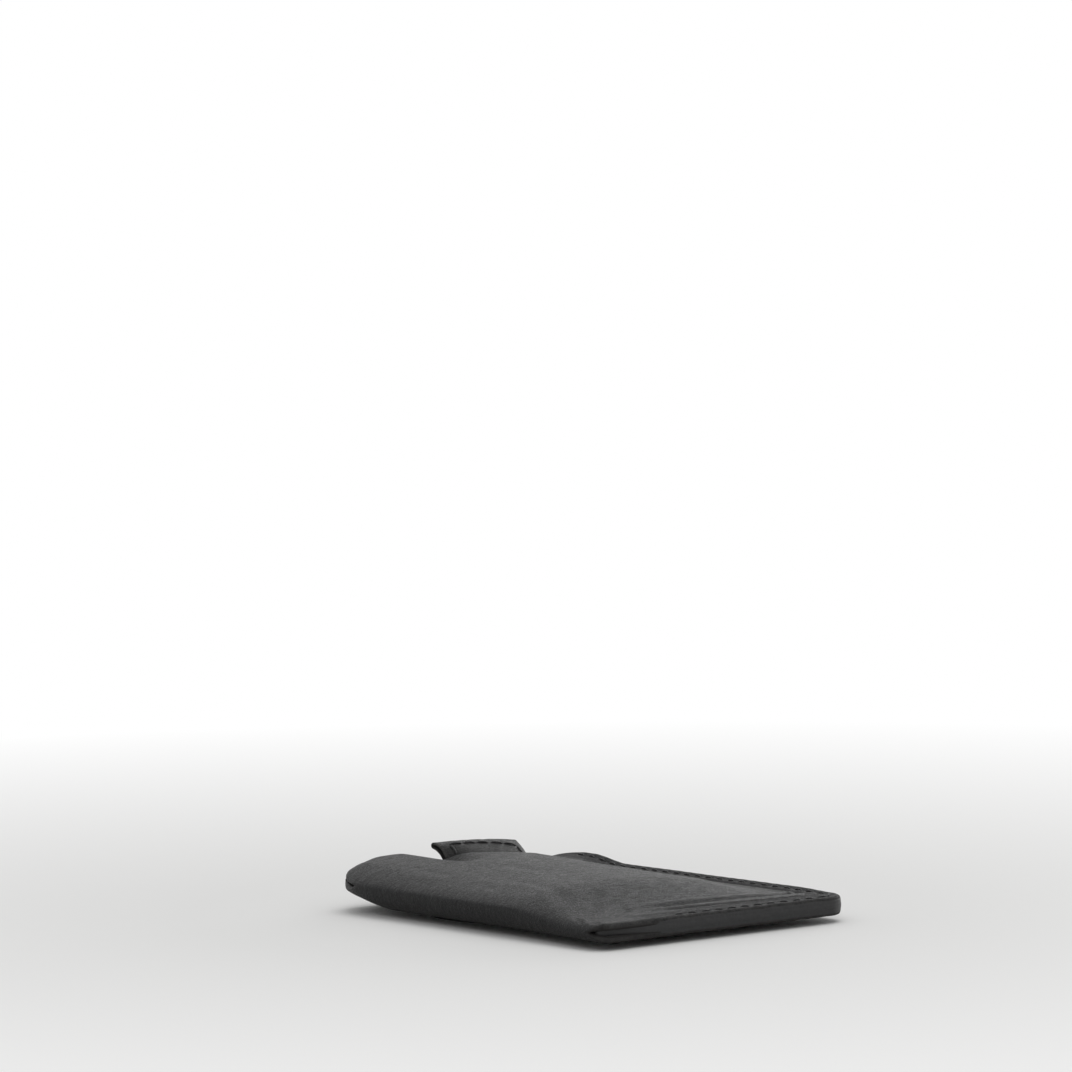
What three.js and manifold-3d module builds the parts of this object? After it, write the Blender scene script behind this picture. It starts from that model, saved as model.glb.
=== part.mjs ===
// A leather card wallet that holds on to the back of a phone with magnets.
// Millimetres, +Z up. The wallet lies on its magnet tray, with its pocket mouth towards +Y, its
// fold along the -X side and its stitched seam along the +X side. The origin is the centre of the
// magnet ring, on the flat face that meets the phone.
import * as THREE from 'three';
import Module from 'manifold-3d';
import { mergeVertices } from 'three/addons/utils/BufferGeometryUtils.js';

// Outline of the folded panel, seen from above
const PANEL_WIDTH = 71;
const PANEL_LENGTH = 93.9;
const RING_OFF_CENTRE = 2.5;
const RING_TO_FOOT = 62.3;
const FOOT_SEAM_CORNER = 6;
const FOOT_FOLD_CORNER = 4;
const MOUTH_SEAM_CORNER = 6;
const MOUTH_FOLD_CORNER = 12.5;

// Layers, from the phone upwards
const TRAY_HEIGHT = 1.6;
const LEATHER = 1.5;
const LINING = 0.9;
const LAYER_GAP = 0.15;

// Stitched margins and the bulge of the filled front
const SEAM_MARGIN = 6.5;
const FOOT_MARGIN = 6;
const SEAM_RAMP = 14;
const FOOT_RAMP = 25;
const CROWN_RISE = 4.5;
const CROWN_RIDGE_X = -10.5;
const CROWN_DROP = 4;
const CROWN_DROP_REACH = 38;
const MOUTH_GROWTH = 0.24;
const GROWTH_START = 40;
const GROWTH_LENGTH = 50;

// The fold: a tall rounded nose in the middle of the length, pinched flat at the foot
const FOLD_TOP_REACH = 9;
const FOLD_TOP_REACH_FOOT = 3;
const FOLD_BACK_REACH = 4;
const FOLD_BACK_REACH_FOOT = 3;
const FOLD_NOSE_HEIGHT = 6.4;

// Thumb scoop in the mouth, centred on the tab, and the sag of its free edge beside the tab
const SCOOP_HALF_WIDTH = 16;
const SCOOP_DEPTH = 11.9;
const SCOOP_SQUARENESS = 4;
const SAG = 1.5;
const SAG_FROM_TAB = 2.5;
const SAG_WIDTH = 4.5;
const SAG_LENGTH = 12;

// The two corners of the mouth curl up a little from the phone
const SEAM_CURL = 1.4;
const SEAM_CURL_LENGTH = 20;
const SEAM_CURL_RAMP = 12;
const SEAM_CURL_WIDTH = 23;
const FOLD_CURL = 3;
const FOLD_CURL_LENGTH = 21;
const FOLD_CURL_WIDTH = 14;
const FOLD_CURL_RAMP = 12;

// Magnet ring, its steel shield and the bar magnet that keeps the wallet straight
const RING_OUTER_R = 27;
const RING_BAND = 4;
const RING_MAGNETS = 16;
const RING_MAGNET_SPACE = 0.5;
const MAGNET_THICKNESS = 0.7;
const SHIELD_THICKNESS = 0.3;
const BAR_WIDTH = 20;
const BAR_LENGTH = 6;
const RING_TO_BAR = 38;
const POCKET_CLEARANCE = 0.3;

// Tray that carries the magnets
const TRAY_FLOOR = 0.5;
const TRAY_WALL = 1.4;
const TRAY_EDGE = 0.35;
const TRAY_TAIL_CORNER = 4;
const POCKET_CORNER = 1;

// Pull tab: one strip of leather folded at its free end
const TAB_WIDTH = 24;
const TAB_X = 2.5;
const TAB_LEATHER = 1.1;
const TAB_SLOT = 0.6;
const TAB_TO_MOUTH = 1.4;
const TAB_UPPER_LENGTH = 24;
const TAB_LOWER_LENGTH = 12;
const TAB_LIFT = 3;
const TAB_TWIST = 0.03;
const TAB_SPREAD = 0.12;
const TAB_UNDER_FRONT = 0.3;
const TAB_PAST_EDGE = 1.2;

// Ribbon sewn inside the tab, which runs round the foot of the cards
const RIBBON_WIDTH = 12;
const RIBBON_THICKNESS = 0.4;
const RIBBON_TURN_TO_FOOT = 21;
const RIBBON_ANCHOR_TO_MOUTH = 12;
const RIBBON_OVER_LINING = 0.2;
const RIBBON_IN_TAB = 12;

// How finely the curved sheets are divided
const LENGTH_STEPS = 20;
const FRONT_STEPS = 22;
const CORNER_STEPS = 5;
const FOLD_UPPER_STEPS = 7;
const FOLD_LOWER_STEPS = 4;
const BACK_STEPS_UNDER_FOLD = 2;
const TAB_WIDTH_STEPS = 10;
const TAB_LENGTH_STEPS = 10;
const TAB_FOLD_STEPS = 6;
const RIBBON_WIDTH_STEPS = 3;
const RIBBON_STEPS = 10;
const RIBBON_TURN_STEPS = 6;
const ROUND_STEPS = 56;
const BAR_CORNER_STEPS = 4;
const BEVEL_STEPS = 2;
const MAGNET_ARC_STEPS = 6;

// Places that follow from the sizes above
const foldX = -RING_OFF_CENTRE - PANEL_WIDTH / 2;
const seamX = foldX + PANEL_WIDTH;
const footY = -RING_TO_FOOT;
const mouthY = footY + PANEL_LENGTH;
const backZ = TRAY_HEIGHT;
const liningZ = backZ + LEATHER + LAYER_GAP;
const rimZ = liningZ + LINING + LAYER_GAP + LEATHER;
const flatFoldX = foldX + FOLD_TOP_REACH;
const scoopY = mouthY - SCOOP_DEPTH;
const ringInner = RING_OUTER_R - RING_BAND;
const sagX = TAB_X - TAB_WIDTH / 2 - SAG_FROM_TAB;

const wasm = await Module();
wasm.setup();

// Soft step from 0 to 1, level at both ends
function ease(value) {
  const t = THREE.MathUtils.clamp(value, 0, 1);
  return t * t * (3 - 2 * t);
}

// How far a quarter-round corner of a plan outline pulls the edge in, at a distance from its side
function cornerInset(radius, distance) {
  const reach = THREE.MathUtils.clamp(radius - distance, 0, radius);
  return radius - Math.sqrt(radius * radius - reach * reach);
}

// The foot edge of the panel at x
function footEdge(x) {
  return footY + cornerInset(FOOT_SEAM_CORNER, seamX - x) + cornerInset(FOOT_FOLD_CORNER, x - foldX);
}

// The mouth edge of the back and the lining at x
function backMouthEdge(x) {
  return mouthY - cornerInset(MOUTH_SEAM_CORNER, seamX - x) - cornerInset(MOUTH_FOLD_CORNER, x - foldX);
}

// The mouth edge of the front at x, with its thumb scoop
function frontMouthEdge(x) {
  const across = Math.abs(x - TAB_X) / SCOOP_HALF_WIDTH;
  return backMouthEdge(x) - SCOOP_DEPTH * Math.exp(-Math.pow(across, SCOOP_SQUARENESS));
}

// 0 on the flat foot margin, 1 where the pocket is at its full height
function footRise(y) {
  return ease((y - footY - FOOT_MARGIN) / FOOT_RAMP);
}

// 0 on the flat seam margin, 1 beyond its ramp
function seamRise(x) {
  return ease((seamX - SEAM_MARGIN - x) / SEAM_RAMP);
}

// The curl of the seam-side mouth corner, shared by every layer
function seamCurl(x, y) {
  const along = ease((y - (mouthY - SEAM_CURL_LENGTH)) / SEAM_CURL_RAMP);
  const across = ease((x - (seamX - SEAM_CURL_WIDTH)) / SEAM_CURL_WIDTH);
  return SEAM_CURL * along * across;
}

// The curl of the fold-side mouth corner of the back and the lining
function foldCurl(x, y) {
  const along = ease((y - (mouthY - FOLD_CURL_LENGTH)) / FOLD_CURL_LENGTH);
  const across = ease((foldX + FOLD_CURL_WIDTH - x) / FOLD_CURL_RAMP);
  return FOLD_CURL * along * across;
}

// Height of the phone side of the back panel
function backHeight(x, y) {
  return backZ + seamCurl(x, y) + foldCurl(x, y);
}

// Height of the outer face of the front panel
function frontHeight(x, y) {
  const crown = CROWN_RISE - CROWN_DROP * Math.pow((x - CROWN_RIDGE_X) / CROWN_DROP_REACH, 2);
  const growth = 1 + MOUTH_GROWTH * ease((y - footY - GROWTH_START) / GROWTH_LENGTH);
  const beside = Math.exp(-Math.pow((x - sagX) / SAG_WIDTH, 2));
  const sag = SAG * beside * ease((y - (scoopY - SAG_LENGTH)) / SAG_LENGTH);
  return rimZ + crown * growth * seamRise(x) * footRise(y) - sag + seamCurl(x, y);
}

const tabEndZ = frontHeight(TAB_X, scoopY) - LEATHER - TAB_UNDER_FRONT + TAB_LIFT;
const tabEndY = mouthY - TAB_TO_MOUTH;

// A closed sheet between two grids of points that share their rows and columns
function sheetSolid(rows, columns, outerPoint, innerPoint) {
  const positions = [];
  const indices = [];
  const side = (rows + 1) * (columns + 1);
  for (const point of [outerPoint, innerPoint]) {
    for (let row = 0; row <= rows; row += 1) {
      for (let column = 0; column <= columns; column += 1) {
        positions.push(...point(row, column));
      }
    }
  }
  const at = (layer, row, column) => layer * side + row * (columns + 1) + column;
  const quad = (a, b, c, d) => indices.push(a, b, c, a, c, d);
  for (let row = 0; row < rows; row += 1) {
    for (let column = 0; column < columns; column += 1) {
      quad(at(0, row, column), at(0, row + 1, column), at(0, row + 1, column + 1), at(0, row, column + 1));
      quad(at(1, row, column), at(1, row, column + 1), at(1, row + 1, column + 1), at(1, row + 1, column));
    }
  }
  for (let column = 0; column < columns; column += 1) {
    quad(at(0, 0, column), at(0, 0, column + 1), at(1, 0, column + 1), at(1, 0, column));
    quad(at(0, rows, column), at(1, rows, column), at(1, rows, column + 1), at(0, rows, column + 1));
  }
  for (let row = 0; row < rows; row += 1) {
    quad(at(0, row, 0), at(1, row, 0), at(1, row + 1, 0), at(0, row + 1, 0));
    quad(at(0, row, columns), at(0, row + 1, columns), at(1, row + 1, columns), at(1, row, columns));
  }
  const geometry = new THREE.BufferGeometry();
  geometry.setAttribute('position', new THREE.Float32BufferAttribute(positions, 3));
  geometry.setIndex(indices);
  geometry.computeVertexNormals();
  return geometry;
}

// Values of x from the end of the fold's curve to the seam edge, closer together at the corners
function flatStations() {
  const corner = Math.max(FOOT_SEAM_CORNER, MOUTH_SEAM_CORNER);
  const start = seamX - corner;
  const stations = [];
  for (let step = 0; step < FRONT_STEPS; step += 1) {
    stations.push(THREE.MathUtils.lerp(flatFoldX, start, step / FRONT_STEPS));
  }
  for (let step = 0; step <= CORNER_STEPS; step += 1) {
    stations.push(start + corner * Math.sin((step / CORNER_STEPS) * (Math.PI / 2)));
  }
  return stations;
}

const FLAT_X = flatStations();

// Values of x of the back panel that lie under the fold's upper curve
function underFoldStations() {
  const stations = [];
  for (let step = 0; step < BACK_STEPS_UNDER_FOLD; step += 1) {
    stations.push(THREE.MathUtils.lerp(foldX + FOLD_BACK_REACH, flatFoldX, step / BACK_STEPS_UNDER_FOLD));
  }
  return stations;
}

const BACK_X = [...underFoldStations(), ...FLAT_X];

// A step along the girth of the wrap: x and height as functions of y, for a depth inside the skin
function backStep(x) {
  return {
    place: (y, depth) => [x, backHeight(x, y) + depth],
    foot: footEdge(x),
    mouth: backMouthEdge(x),
  };
}

function frontStep(x) {
  return {
    place: (y, depth) => [x, frontHeight(x, y) - depth],
    foot: footEdge(x),
    mouth: frontMouthEdge(x),
  };
}

// Height of the outermost line of the fold
function noseHeight(y) {
  return THREE.MathUtils.lerp((backZ + rimZ) / 2, FOLD_NOSE_HEIGHT, footRise(y));
}

// A step round the fold: a quarter ellipse below the nose, or one above it
function foldStep(angle, reachAtFoot, reachInside, height, mouthEdge, sign) {
  const place = (y, depth) => {
    const reach = THREE.MathUtils.lerp(reachAtFoot, reachInside, footRise(y));
    const outerX = foldX + reach * (1 - Math.cos(angle));
    const nose = noseHeight(y);
    const rise = height(outerX, y) - sign * depth - nose;
    return [foldX + reach - (reach - depth) * Math.cos(angle), nose + rise * Math.sin(angle)];
  };
  const footX = foldX + reachAtFoot * (1 - Math.cos(angle));
  const mouthX = foldX + reachInside * (1 - Math.cos(angle));
  return { place, foot: footEdge(footX), mouth: mouthEdge(mouthX) };
}

// The whole girth, from the seam edge of the back, round the fold, to the seam edge of the front
function girthSteps() {
  const steps = BACK_X.map(backStep).reverse();
  for (let step = FOLD_LOWER_STEPS - 1; step >= 0; step -= 1) {
    const angle = (step / FOLD_LOWER_STEPS) * (Math.PI / 2);
    steps.push(foldStep(angle, FOLD_BACK_REACH_FOOT, FOLD_BACK_REACH, backHeight, backMouthEdge, -1));
  }
  for (let step = 1; step < FOLD_UPPER_STEPS; step += 1) {
    const angle = (step / FOLD_UPPER_STEPS) * (Math.PI / 2);
    steps.push(foldStep(angle, FOLD_TOP_REACH_FOOT, FOLD_TOP_REACH, frontHeight, frontMouthEdge, 1));
  }
  return [...steps, ...FLAT_X.map(frontStep)];
}

// Leather wrap: front, fold and back are one sheet
function leatherWrap() {
  const steps = girthSteps();
  const point = (depth) => (row, column) => {
    const step = steps[row];
    const y = THREE.MathUtils.lerp(step.foot, step.mouth, column / LENGTH_STEPS);
    const [x, z] = step.place(y, depth);
    return [x, y, z];
  };
  return sheetSolid(steps.length - 1, LENGTH_STEPS, point(0), point(LEATHER));
}

// Lining: a second skin on the inside of the back, which covers the magnets
function pocketLining() {
  const point = (rise) => (row, column) => {
    const x = BACK_X[row];
    const y = THREE.MathUtils.lerp(footEdge(x), backMouthEdge(x), column / LENGTH_STEPS);
    return [x, y, backHeight(x, y) - backZ + liningZ + rise];
  };
  return sheetSolid(BACK_X.length - 1, LENGTH_STEPS, point(LINING), point(0));
}

// A disc, or a ring when it has a hole
function ringShape(outerRadius, innerRadius = 0) {
  const shape = new THREE.Shape();
  shape.absarc(0, 0, outerRadius, 0, Math.PI * 2, false);
  if (innerRadius > 0) {
    const hole = new THREE.Path();
    hole.absarc(0, 0, innerRadius, 0, Math.PI * 2, true);
    shape.holes.push(hole);
  }
  return shape;
}

// A rectangle with rounded corners, between two values of y
function barShape(width, low, high, radius) {
  const side = width / 2 - radius;
  const shape = new THREE.Shape();
  shape.absarc(side, low + radius, radius, -Math.PI / 2, 0, false);
  shape.absarc(side, high - radius, radius, 0, Math.PI / 2, false);
  shape.absarc(-side, high - radius, radius, Math.PI / 2, Math.PI, false);
  shape.absarc(-side, low + radius, radius, Math.PI, Math.PI * 1.5, false);
  return shape;
}

// An outline raised from one height to another, with steps along each of its arcs
function prism(shape, low, high, arcSteps, bevel = 0) {
  const geometry = new THREE.ExtrudeGeometry(shape, {
    depth: high - low - 2 * bevel,
    bevelEnabled: bevel > 0,
    bevelSize: bevel,
    bevelThickness: bevel,
    bevelOffset: -bevel,
    bevelSegments: BEVEL_STEPS,
    curveSegments: arcSteps / 2,
  });
  return geometry.translate(0, 0, low + bevel);
}

// A closed three.js geometry as a solid that can be cut and joined
function toSolid(geometry) {
  const bare = geometry.clone();
  bare.deleteAttribute('normal');
  bare.deleteAttribute('uv');
  const merged = mergeVertices(bare);
  return new wasm.Manifold(new wasm.Mesh({
    numProp: 3,
    vertProperties: Float32Array.from(merged.attributes.position.array),
    triVerts: Uint32Array.from(merged.index.array),
  }));
}

function toGeometry(solid) {
  const mesh = solid.getMesh();
  const geometry = new THREE.BufferGeometry();
  geometry.setAttribute('position', new THREE.Float32BufferAttribute(mesh.vertProperties, 3));
  geometry.setIndex(Array.from(mesh.triVerts));
  geometry.computeVertexNormals();
  return geometry;
}

const magnetTop = TRAY_FLOOR + MAGNET_THICKNESS;
const barLow = -RING_TO_BAR - BAR_LENGTH / 2;
const barHigh = barLow + BAR_LENGTH;

// Magnet tray: a disc round the ring magnets with a tail for the bar magnet. Its thin floor lies
// against the phone, and its pockets open towards the leather.
function magnetTray() {
  const around = POCKET_CLEARANCE + TRAY_WALL;
  const above = TRAY_HEIGHT + TRAY_FLOOR;
  const tail = barShape(BAR_WIDTH + 2 * around, barLow - around, 0, TRAY_TAIL_CORNER);
  const ring = ringShape(RING_OUTER_R + POCKET_CLEARANCE, ringInner - POCKET_CLEARANCE);
  const bar = barShape(BAR_WIDTH + 2 * POCKET_CLEARANCE, barLow - POCKET_CLEARANCE,
    barHigh + POCKET_CLEARANCE, POCKET_CORNER);
  const body = toSolid(prism(ringShape(RING_OUTER_R + around), 0, TRAY_HEIGHT, ROUND_STEPS, TRAY_EDGE))
    .add(toSolid(prism(tail, 0, TRAY_HEIGHT, BAR_CORNER_STEPS, TRAY_EDGE)));
  const pockets = toSolid(prism(ring, TRAY_FLOOR, above, ROUND_STEPS))
    .add(toSolid(prism(bar, TRAY_FLOOR, above, BAR_CORNER_STEPS)));
  return toGeometry(body.subtract(pockets));
}

// One magnet of the ring, an arc-shaped plate
function ringMagnet(index) {
  const share = (Math.PI * 2) / RING_MAGNETS;
  const middle = share * index;
  const half = share / 2 - RING_MAGNET_SPACE / (2 * ringInner);
  const shape = new THREE.Shape();
  shape.absarc(0, 0, RING_OUTER_R, middle - half, middle + half, false);
  shape.absarc(0, 0, ringInner, middle + half, middle - half, true);
  return prism(shape, TRAY_FLOOR, magnetTop, MAGNET_ARC_STEPS);
}

// Height of the tab's upper face: under the front it keeps below both the front above it and the
// edge that it slides out past, and beyond that edge it lifts
function tabTop(x, y) {
  const edge = frontMouthEdge(x);
  const lift = edge + TAB_PAST_EDGE;
  const front = Math.min(frontHeight(x, Math.min(y, lift)), frontHeight(x, edge));
  const past = Math.max(y - lift, 0) / (tabEndY - lift);
  return THREE.MathUtils.lerp(front - LEATHER - TAB_UNDER_FRONT, tabEndZ - TAB_TWIST * (x - TAB_X), past);
}

// Steps along the tab, from the rear of its upper leg, round its folded end, to its lower leg
function tabSteps() {
  const radius = TAB_LEATHER + TAB_SLOT / 2;
  const turnY = tabEndY - radius;
  const steps = [];
  for (let step = 0; step < TAB_LENGTH_STEPS; step += 1) {
    const y = THREE.MathUtils.lerp(tabEndY - TAB_UPPER_LENGTH, turnY, step / TAB_LENGTH_STEPS);
    steps.push((x, depth) => [y, tabTop(x, y) - depth]);
  }
  for (let step = 0; step <= TAB_FOLD_STEPS; step += 1) {
    const angle = (step / TAB_FOLD_STEPS) * Math.PI;
    steps.push((x, depth) => {
      const reach = radius - depth;
      return [turnY + reach * Math.sin(angle), tabTop(x, turnY) - radius + reach * Math.cos(angle)];
    });
  }
  for (let step = 1; step <= TAB_LENGTH_STEPS; step += 1) {
    const back = (step / TAB_LENGTH_STEPS) * TAB_LOWER_LENGTH;
    const y = turnY - back;
    const spread = (x) => TAB_SPREAD * back * (0.5 + (TAB_X - x) / TAB_WIDTH);
    steps.push((x, depth) => [y, tabTop(x, y) - 2 * radius - spread(x) + depth]);
  }
  return steps;
}

// Pull tab: a strip folded at its free end
function pullTab() {
  const steps = tabSteps();
  const point = (depth) => (row, column) => {
    const x = TAB_X + TAB_WIDTH * (0.5 - column / TAB_WIDTH_STEPS);
    const [y, z] = steps[row](x, depth);
    return [x, y, z];
  };
  return sheetSolid(steps.length - 1, TAB_WIDTH_STEPS, point(0), point(TAB_LEATHER));
}

// Steps along the ribbon, from its sewn end on the lining, round the cards, to the tab
function ribbonSteps() {
  const floor = liningZ + LINING + RIBBON_OVER_LINING;
  const roof = (x, y) => tabTop(x, y) - TAB_LEATHER - LAYER_GAP;
  const turnY = footY + RIBBON_TURN_TO_FOOT;
  const anchorY = scoopY - RIBBON_ANCHOR_TO_MOUTH;
  const endY = tabEndY - TAB_UPPER_LENGTH + RIBBON_IN_TAB;
  const steps = [];
  for (let step = 0; step < RIBBON_STEPS; step += 1) {
    const y = THREE.MathUtils.lerp(anchorY, turnY, step / RIBBON_STEPS);
    steps.push((x, depth) => [y, floor + depth]);
  }
  for (let step = 0; step < RIBBON_TURN_STEPS; step += 1) {
    const angle = (step / RIBBON_TURN_STEPS) * Math.PI;
    steps.push((x, depth) => {
      const radius = (roof(x, turnY) - floor) / 2;
      const reach = radius - depth;
      return [turnY - reach * Math.sin(angle), floor + radius - reach * Math.cos(angle)];
    });
  }
  for (let step = 0; step <= RIBBON_STEPS; step += 1) {
    const y = THREE.MathUtils.lerp(turnY, endY, step / RIBBON_STEPS);
    steps.push((x, depth) => [y, roof(x, y) - depth]);
  }
  return steps;
}

// Pull ribbon: a flat tape in a long loop
function pullRibbon() {
  const steps = ribbonSteps();
  const point = (depth) => (row, column) => {
    const x = TAB_X + RIBBON_WIDTH * (0.5 - column / RIBBON_WIDTH_STEPS);
    const [y, z] = steps[row](x, depth);
    return [x, y, z];
  };
  return sheetSolid(steps.length - 1, RIBBON_WIDTH_STEPS, point(0), point(RIBBON_THICKNESS));
}

const leather = { color: 0x1b1b1c, roughness: 0.5, metalness: 0 };
const suede = { color: 0x232324, roughness: 0.9, metalness: 0 };
const plastic = { color: 0x161617, roughness: 0.7, metalness: 0 };
const nickel = { color: 0xb9bbbd, roughness: 0.35, metalness: 1 };
const steel = { color: 0x8d9093, roughness: 0.45, metalness: 1 };
const tape = { color: 0x121213, roughness: 0.85, metalness: 0 };

function piece(name, geometry, finish) {
  const mesh = new THREE.Mesh(geometry, new THREE.MeshStandardMaterial(finish));
  mesh.name = name;
  return mesh;
}

// Everything that stays against the phone
function magnetModule() {
  const group = new THREE.Group();
  group.add(piece('magnet_tray', magnetTray(), plastic));
  for (let index = 0; index < RING_MAGNETS; index += 1) {
    const name = `ring_magnet_${String(index + 1).padStart(2, '0')}`;
    group.add(piece(name, ringMagnet(index), nickel));
  }
  const bar = barShape(BAR_WIDTH, barLow, barHigh, POCKET_CLEARANCE);
  group.add(piece('bar_magnet', prism(bar, TRAY_FLOOR, magnetTop, BAR_CORNER_STEPS), nickel));
  const ring = ringShape(RING_OUTER_R, ringInner);
  const shield = prism(ring, magnetTop, magnetTop + SHIELD_THICKNESS, ROUND_STEPS);
  group.add(piece('shield_ring', shield, steel));
  return group;
}

// The pocket: the wrap and its lining
function pocket() {
  const group = new THREE.Group();
  group.add(piece('leather_wrap', leatherWrap(), leather));
  group.add(piece('pocket_lining', pocketLining(), suede));
  return group;
}

// The pull: the tab and the ribbon that lifts the cards
function pull() {
  const group = new THREE.Group();
  group.add(piece('pull_tab', pullTab(), leather));
  group.add(piece('pull_ribbon', pullRibbon(), tape));
  return group;
}

const wallet = new THREE.Group();
wallet.name = 'phone_wallet';
wallet.add(pocket(), magnetModule(), pull());

export default wallet;
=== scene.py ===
"""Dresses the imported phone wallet: folded leather, seams, threads, lining, ribbon, tab and magnets.

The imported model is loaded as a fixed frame. Shapes are worked out in millimetres, in the frame's
own axes, and turned into metres when a mesh is made.
"""

import logging
import math
from dataclasses import dataclass
from enum import Enum
from typing import Protocol

import bpy
import numpy as np
from mathutils import Matrix, Vector


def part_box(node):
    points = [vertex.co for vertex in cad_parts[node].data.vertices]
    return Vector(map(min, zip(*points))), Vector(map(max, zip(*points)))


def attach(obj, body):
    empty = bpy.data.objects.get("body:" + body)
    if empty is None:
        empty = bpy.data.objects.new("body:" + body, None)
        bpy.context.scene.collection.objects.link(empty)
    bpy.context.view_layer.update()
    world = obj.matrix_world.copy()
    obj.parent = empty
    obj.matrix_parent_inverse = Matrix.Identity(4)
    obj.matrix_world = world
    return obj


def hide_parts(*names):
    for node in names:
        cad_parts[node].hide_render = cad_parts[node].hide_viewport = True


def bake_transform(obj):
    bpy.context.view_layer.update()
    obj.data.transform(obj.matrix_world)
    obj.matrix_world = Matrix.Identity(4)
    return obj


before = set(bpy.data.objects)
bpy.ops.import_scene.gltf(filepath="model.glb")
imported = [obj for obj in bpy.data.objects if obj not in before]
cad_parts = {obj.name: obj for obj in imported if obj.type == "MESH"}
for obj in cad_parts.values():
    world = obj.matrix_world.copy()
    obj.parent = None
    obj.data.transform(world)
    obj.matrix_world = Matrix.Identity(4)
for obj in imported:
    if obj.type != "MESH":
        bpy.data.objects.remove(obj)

log = logging.getLogger("phone_wallet")

MM = 0.001
ROOT_BODY = "wallet"
TAB_BODY = "tab"


class Slot(Enum):
    """Names of material slots."""

    LEATHER = "black_leather"
    LINING = "suede_lining"
    TRAY = "tray_plastic"
    NICKEL = "magnet_nickel"
    STEEL = "shield_steel"
    RIBBON = "ribbon_fabric"


class Panel(Enum):
    """The two panels of the folded wrap, with the way that each faces."""

    BACK = -1.0
    FRONT = 1.0


def ease(value: np.ndarray) -> np.ndarray:
    """Soft step, level at both ends.

    Args:
        value: Numbers of which 0 to 1 is the step.

    Returns:
        Values from 0 to 1.
    """
    t = np.clip(value, 0.0, 1.0)
    return t * t * (3.0 - 2.0 * t)


def lerp(
    low: float | np.ndarray, high: float | np.ndarray, share: float | np.ndarray
) -> float | np.ndarray:
    """Straight blend from low to high.

    Args:
        low: Value at share 0.
        high: Value at share 1.
        share: Share of the way.

    Returns:
        The blended value.
    """
    return low + (high - low) * share


def bell(distance: np.ndarray, width: float) -> np.ndarray:
    """A smooth bump of height 1.

    Args:
        distance: Distance from the middle of the bump.
        width: Half-width at which it has fallen to about a third.

    Returns:
        Values from 0 to 1.
    """
    return np.exp(-((distance / width) ** 2))


def corner_inset(radius: float, distance: np.ndarray) -> np.ndarray:
    """How far a quarter-round corner pulls an edge in.

    Args:
        radius: Corner radius.
        distance: Distance from the side that the corner turns into.

    Returns:
        The inset at each distance.
    """
    reach = np.clip(radius - distance, 0.0, radius)
    return radius - np.sqrt(radius * radius - reach * reach)


def node_box(name: str) -> tuple[np.ndarray, np.ndarray]:
    """The corners of a CAD node.

    Args:
        name: Name of the node.

    Returns:
        Lowest and highest corner in millimetres.
    """
    low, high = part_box(name)
    return np.array(low) / MM, np.array(high) / MM


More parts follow.
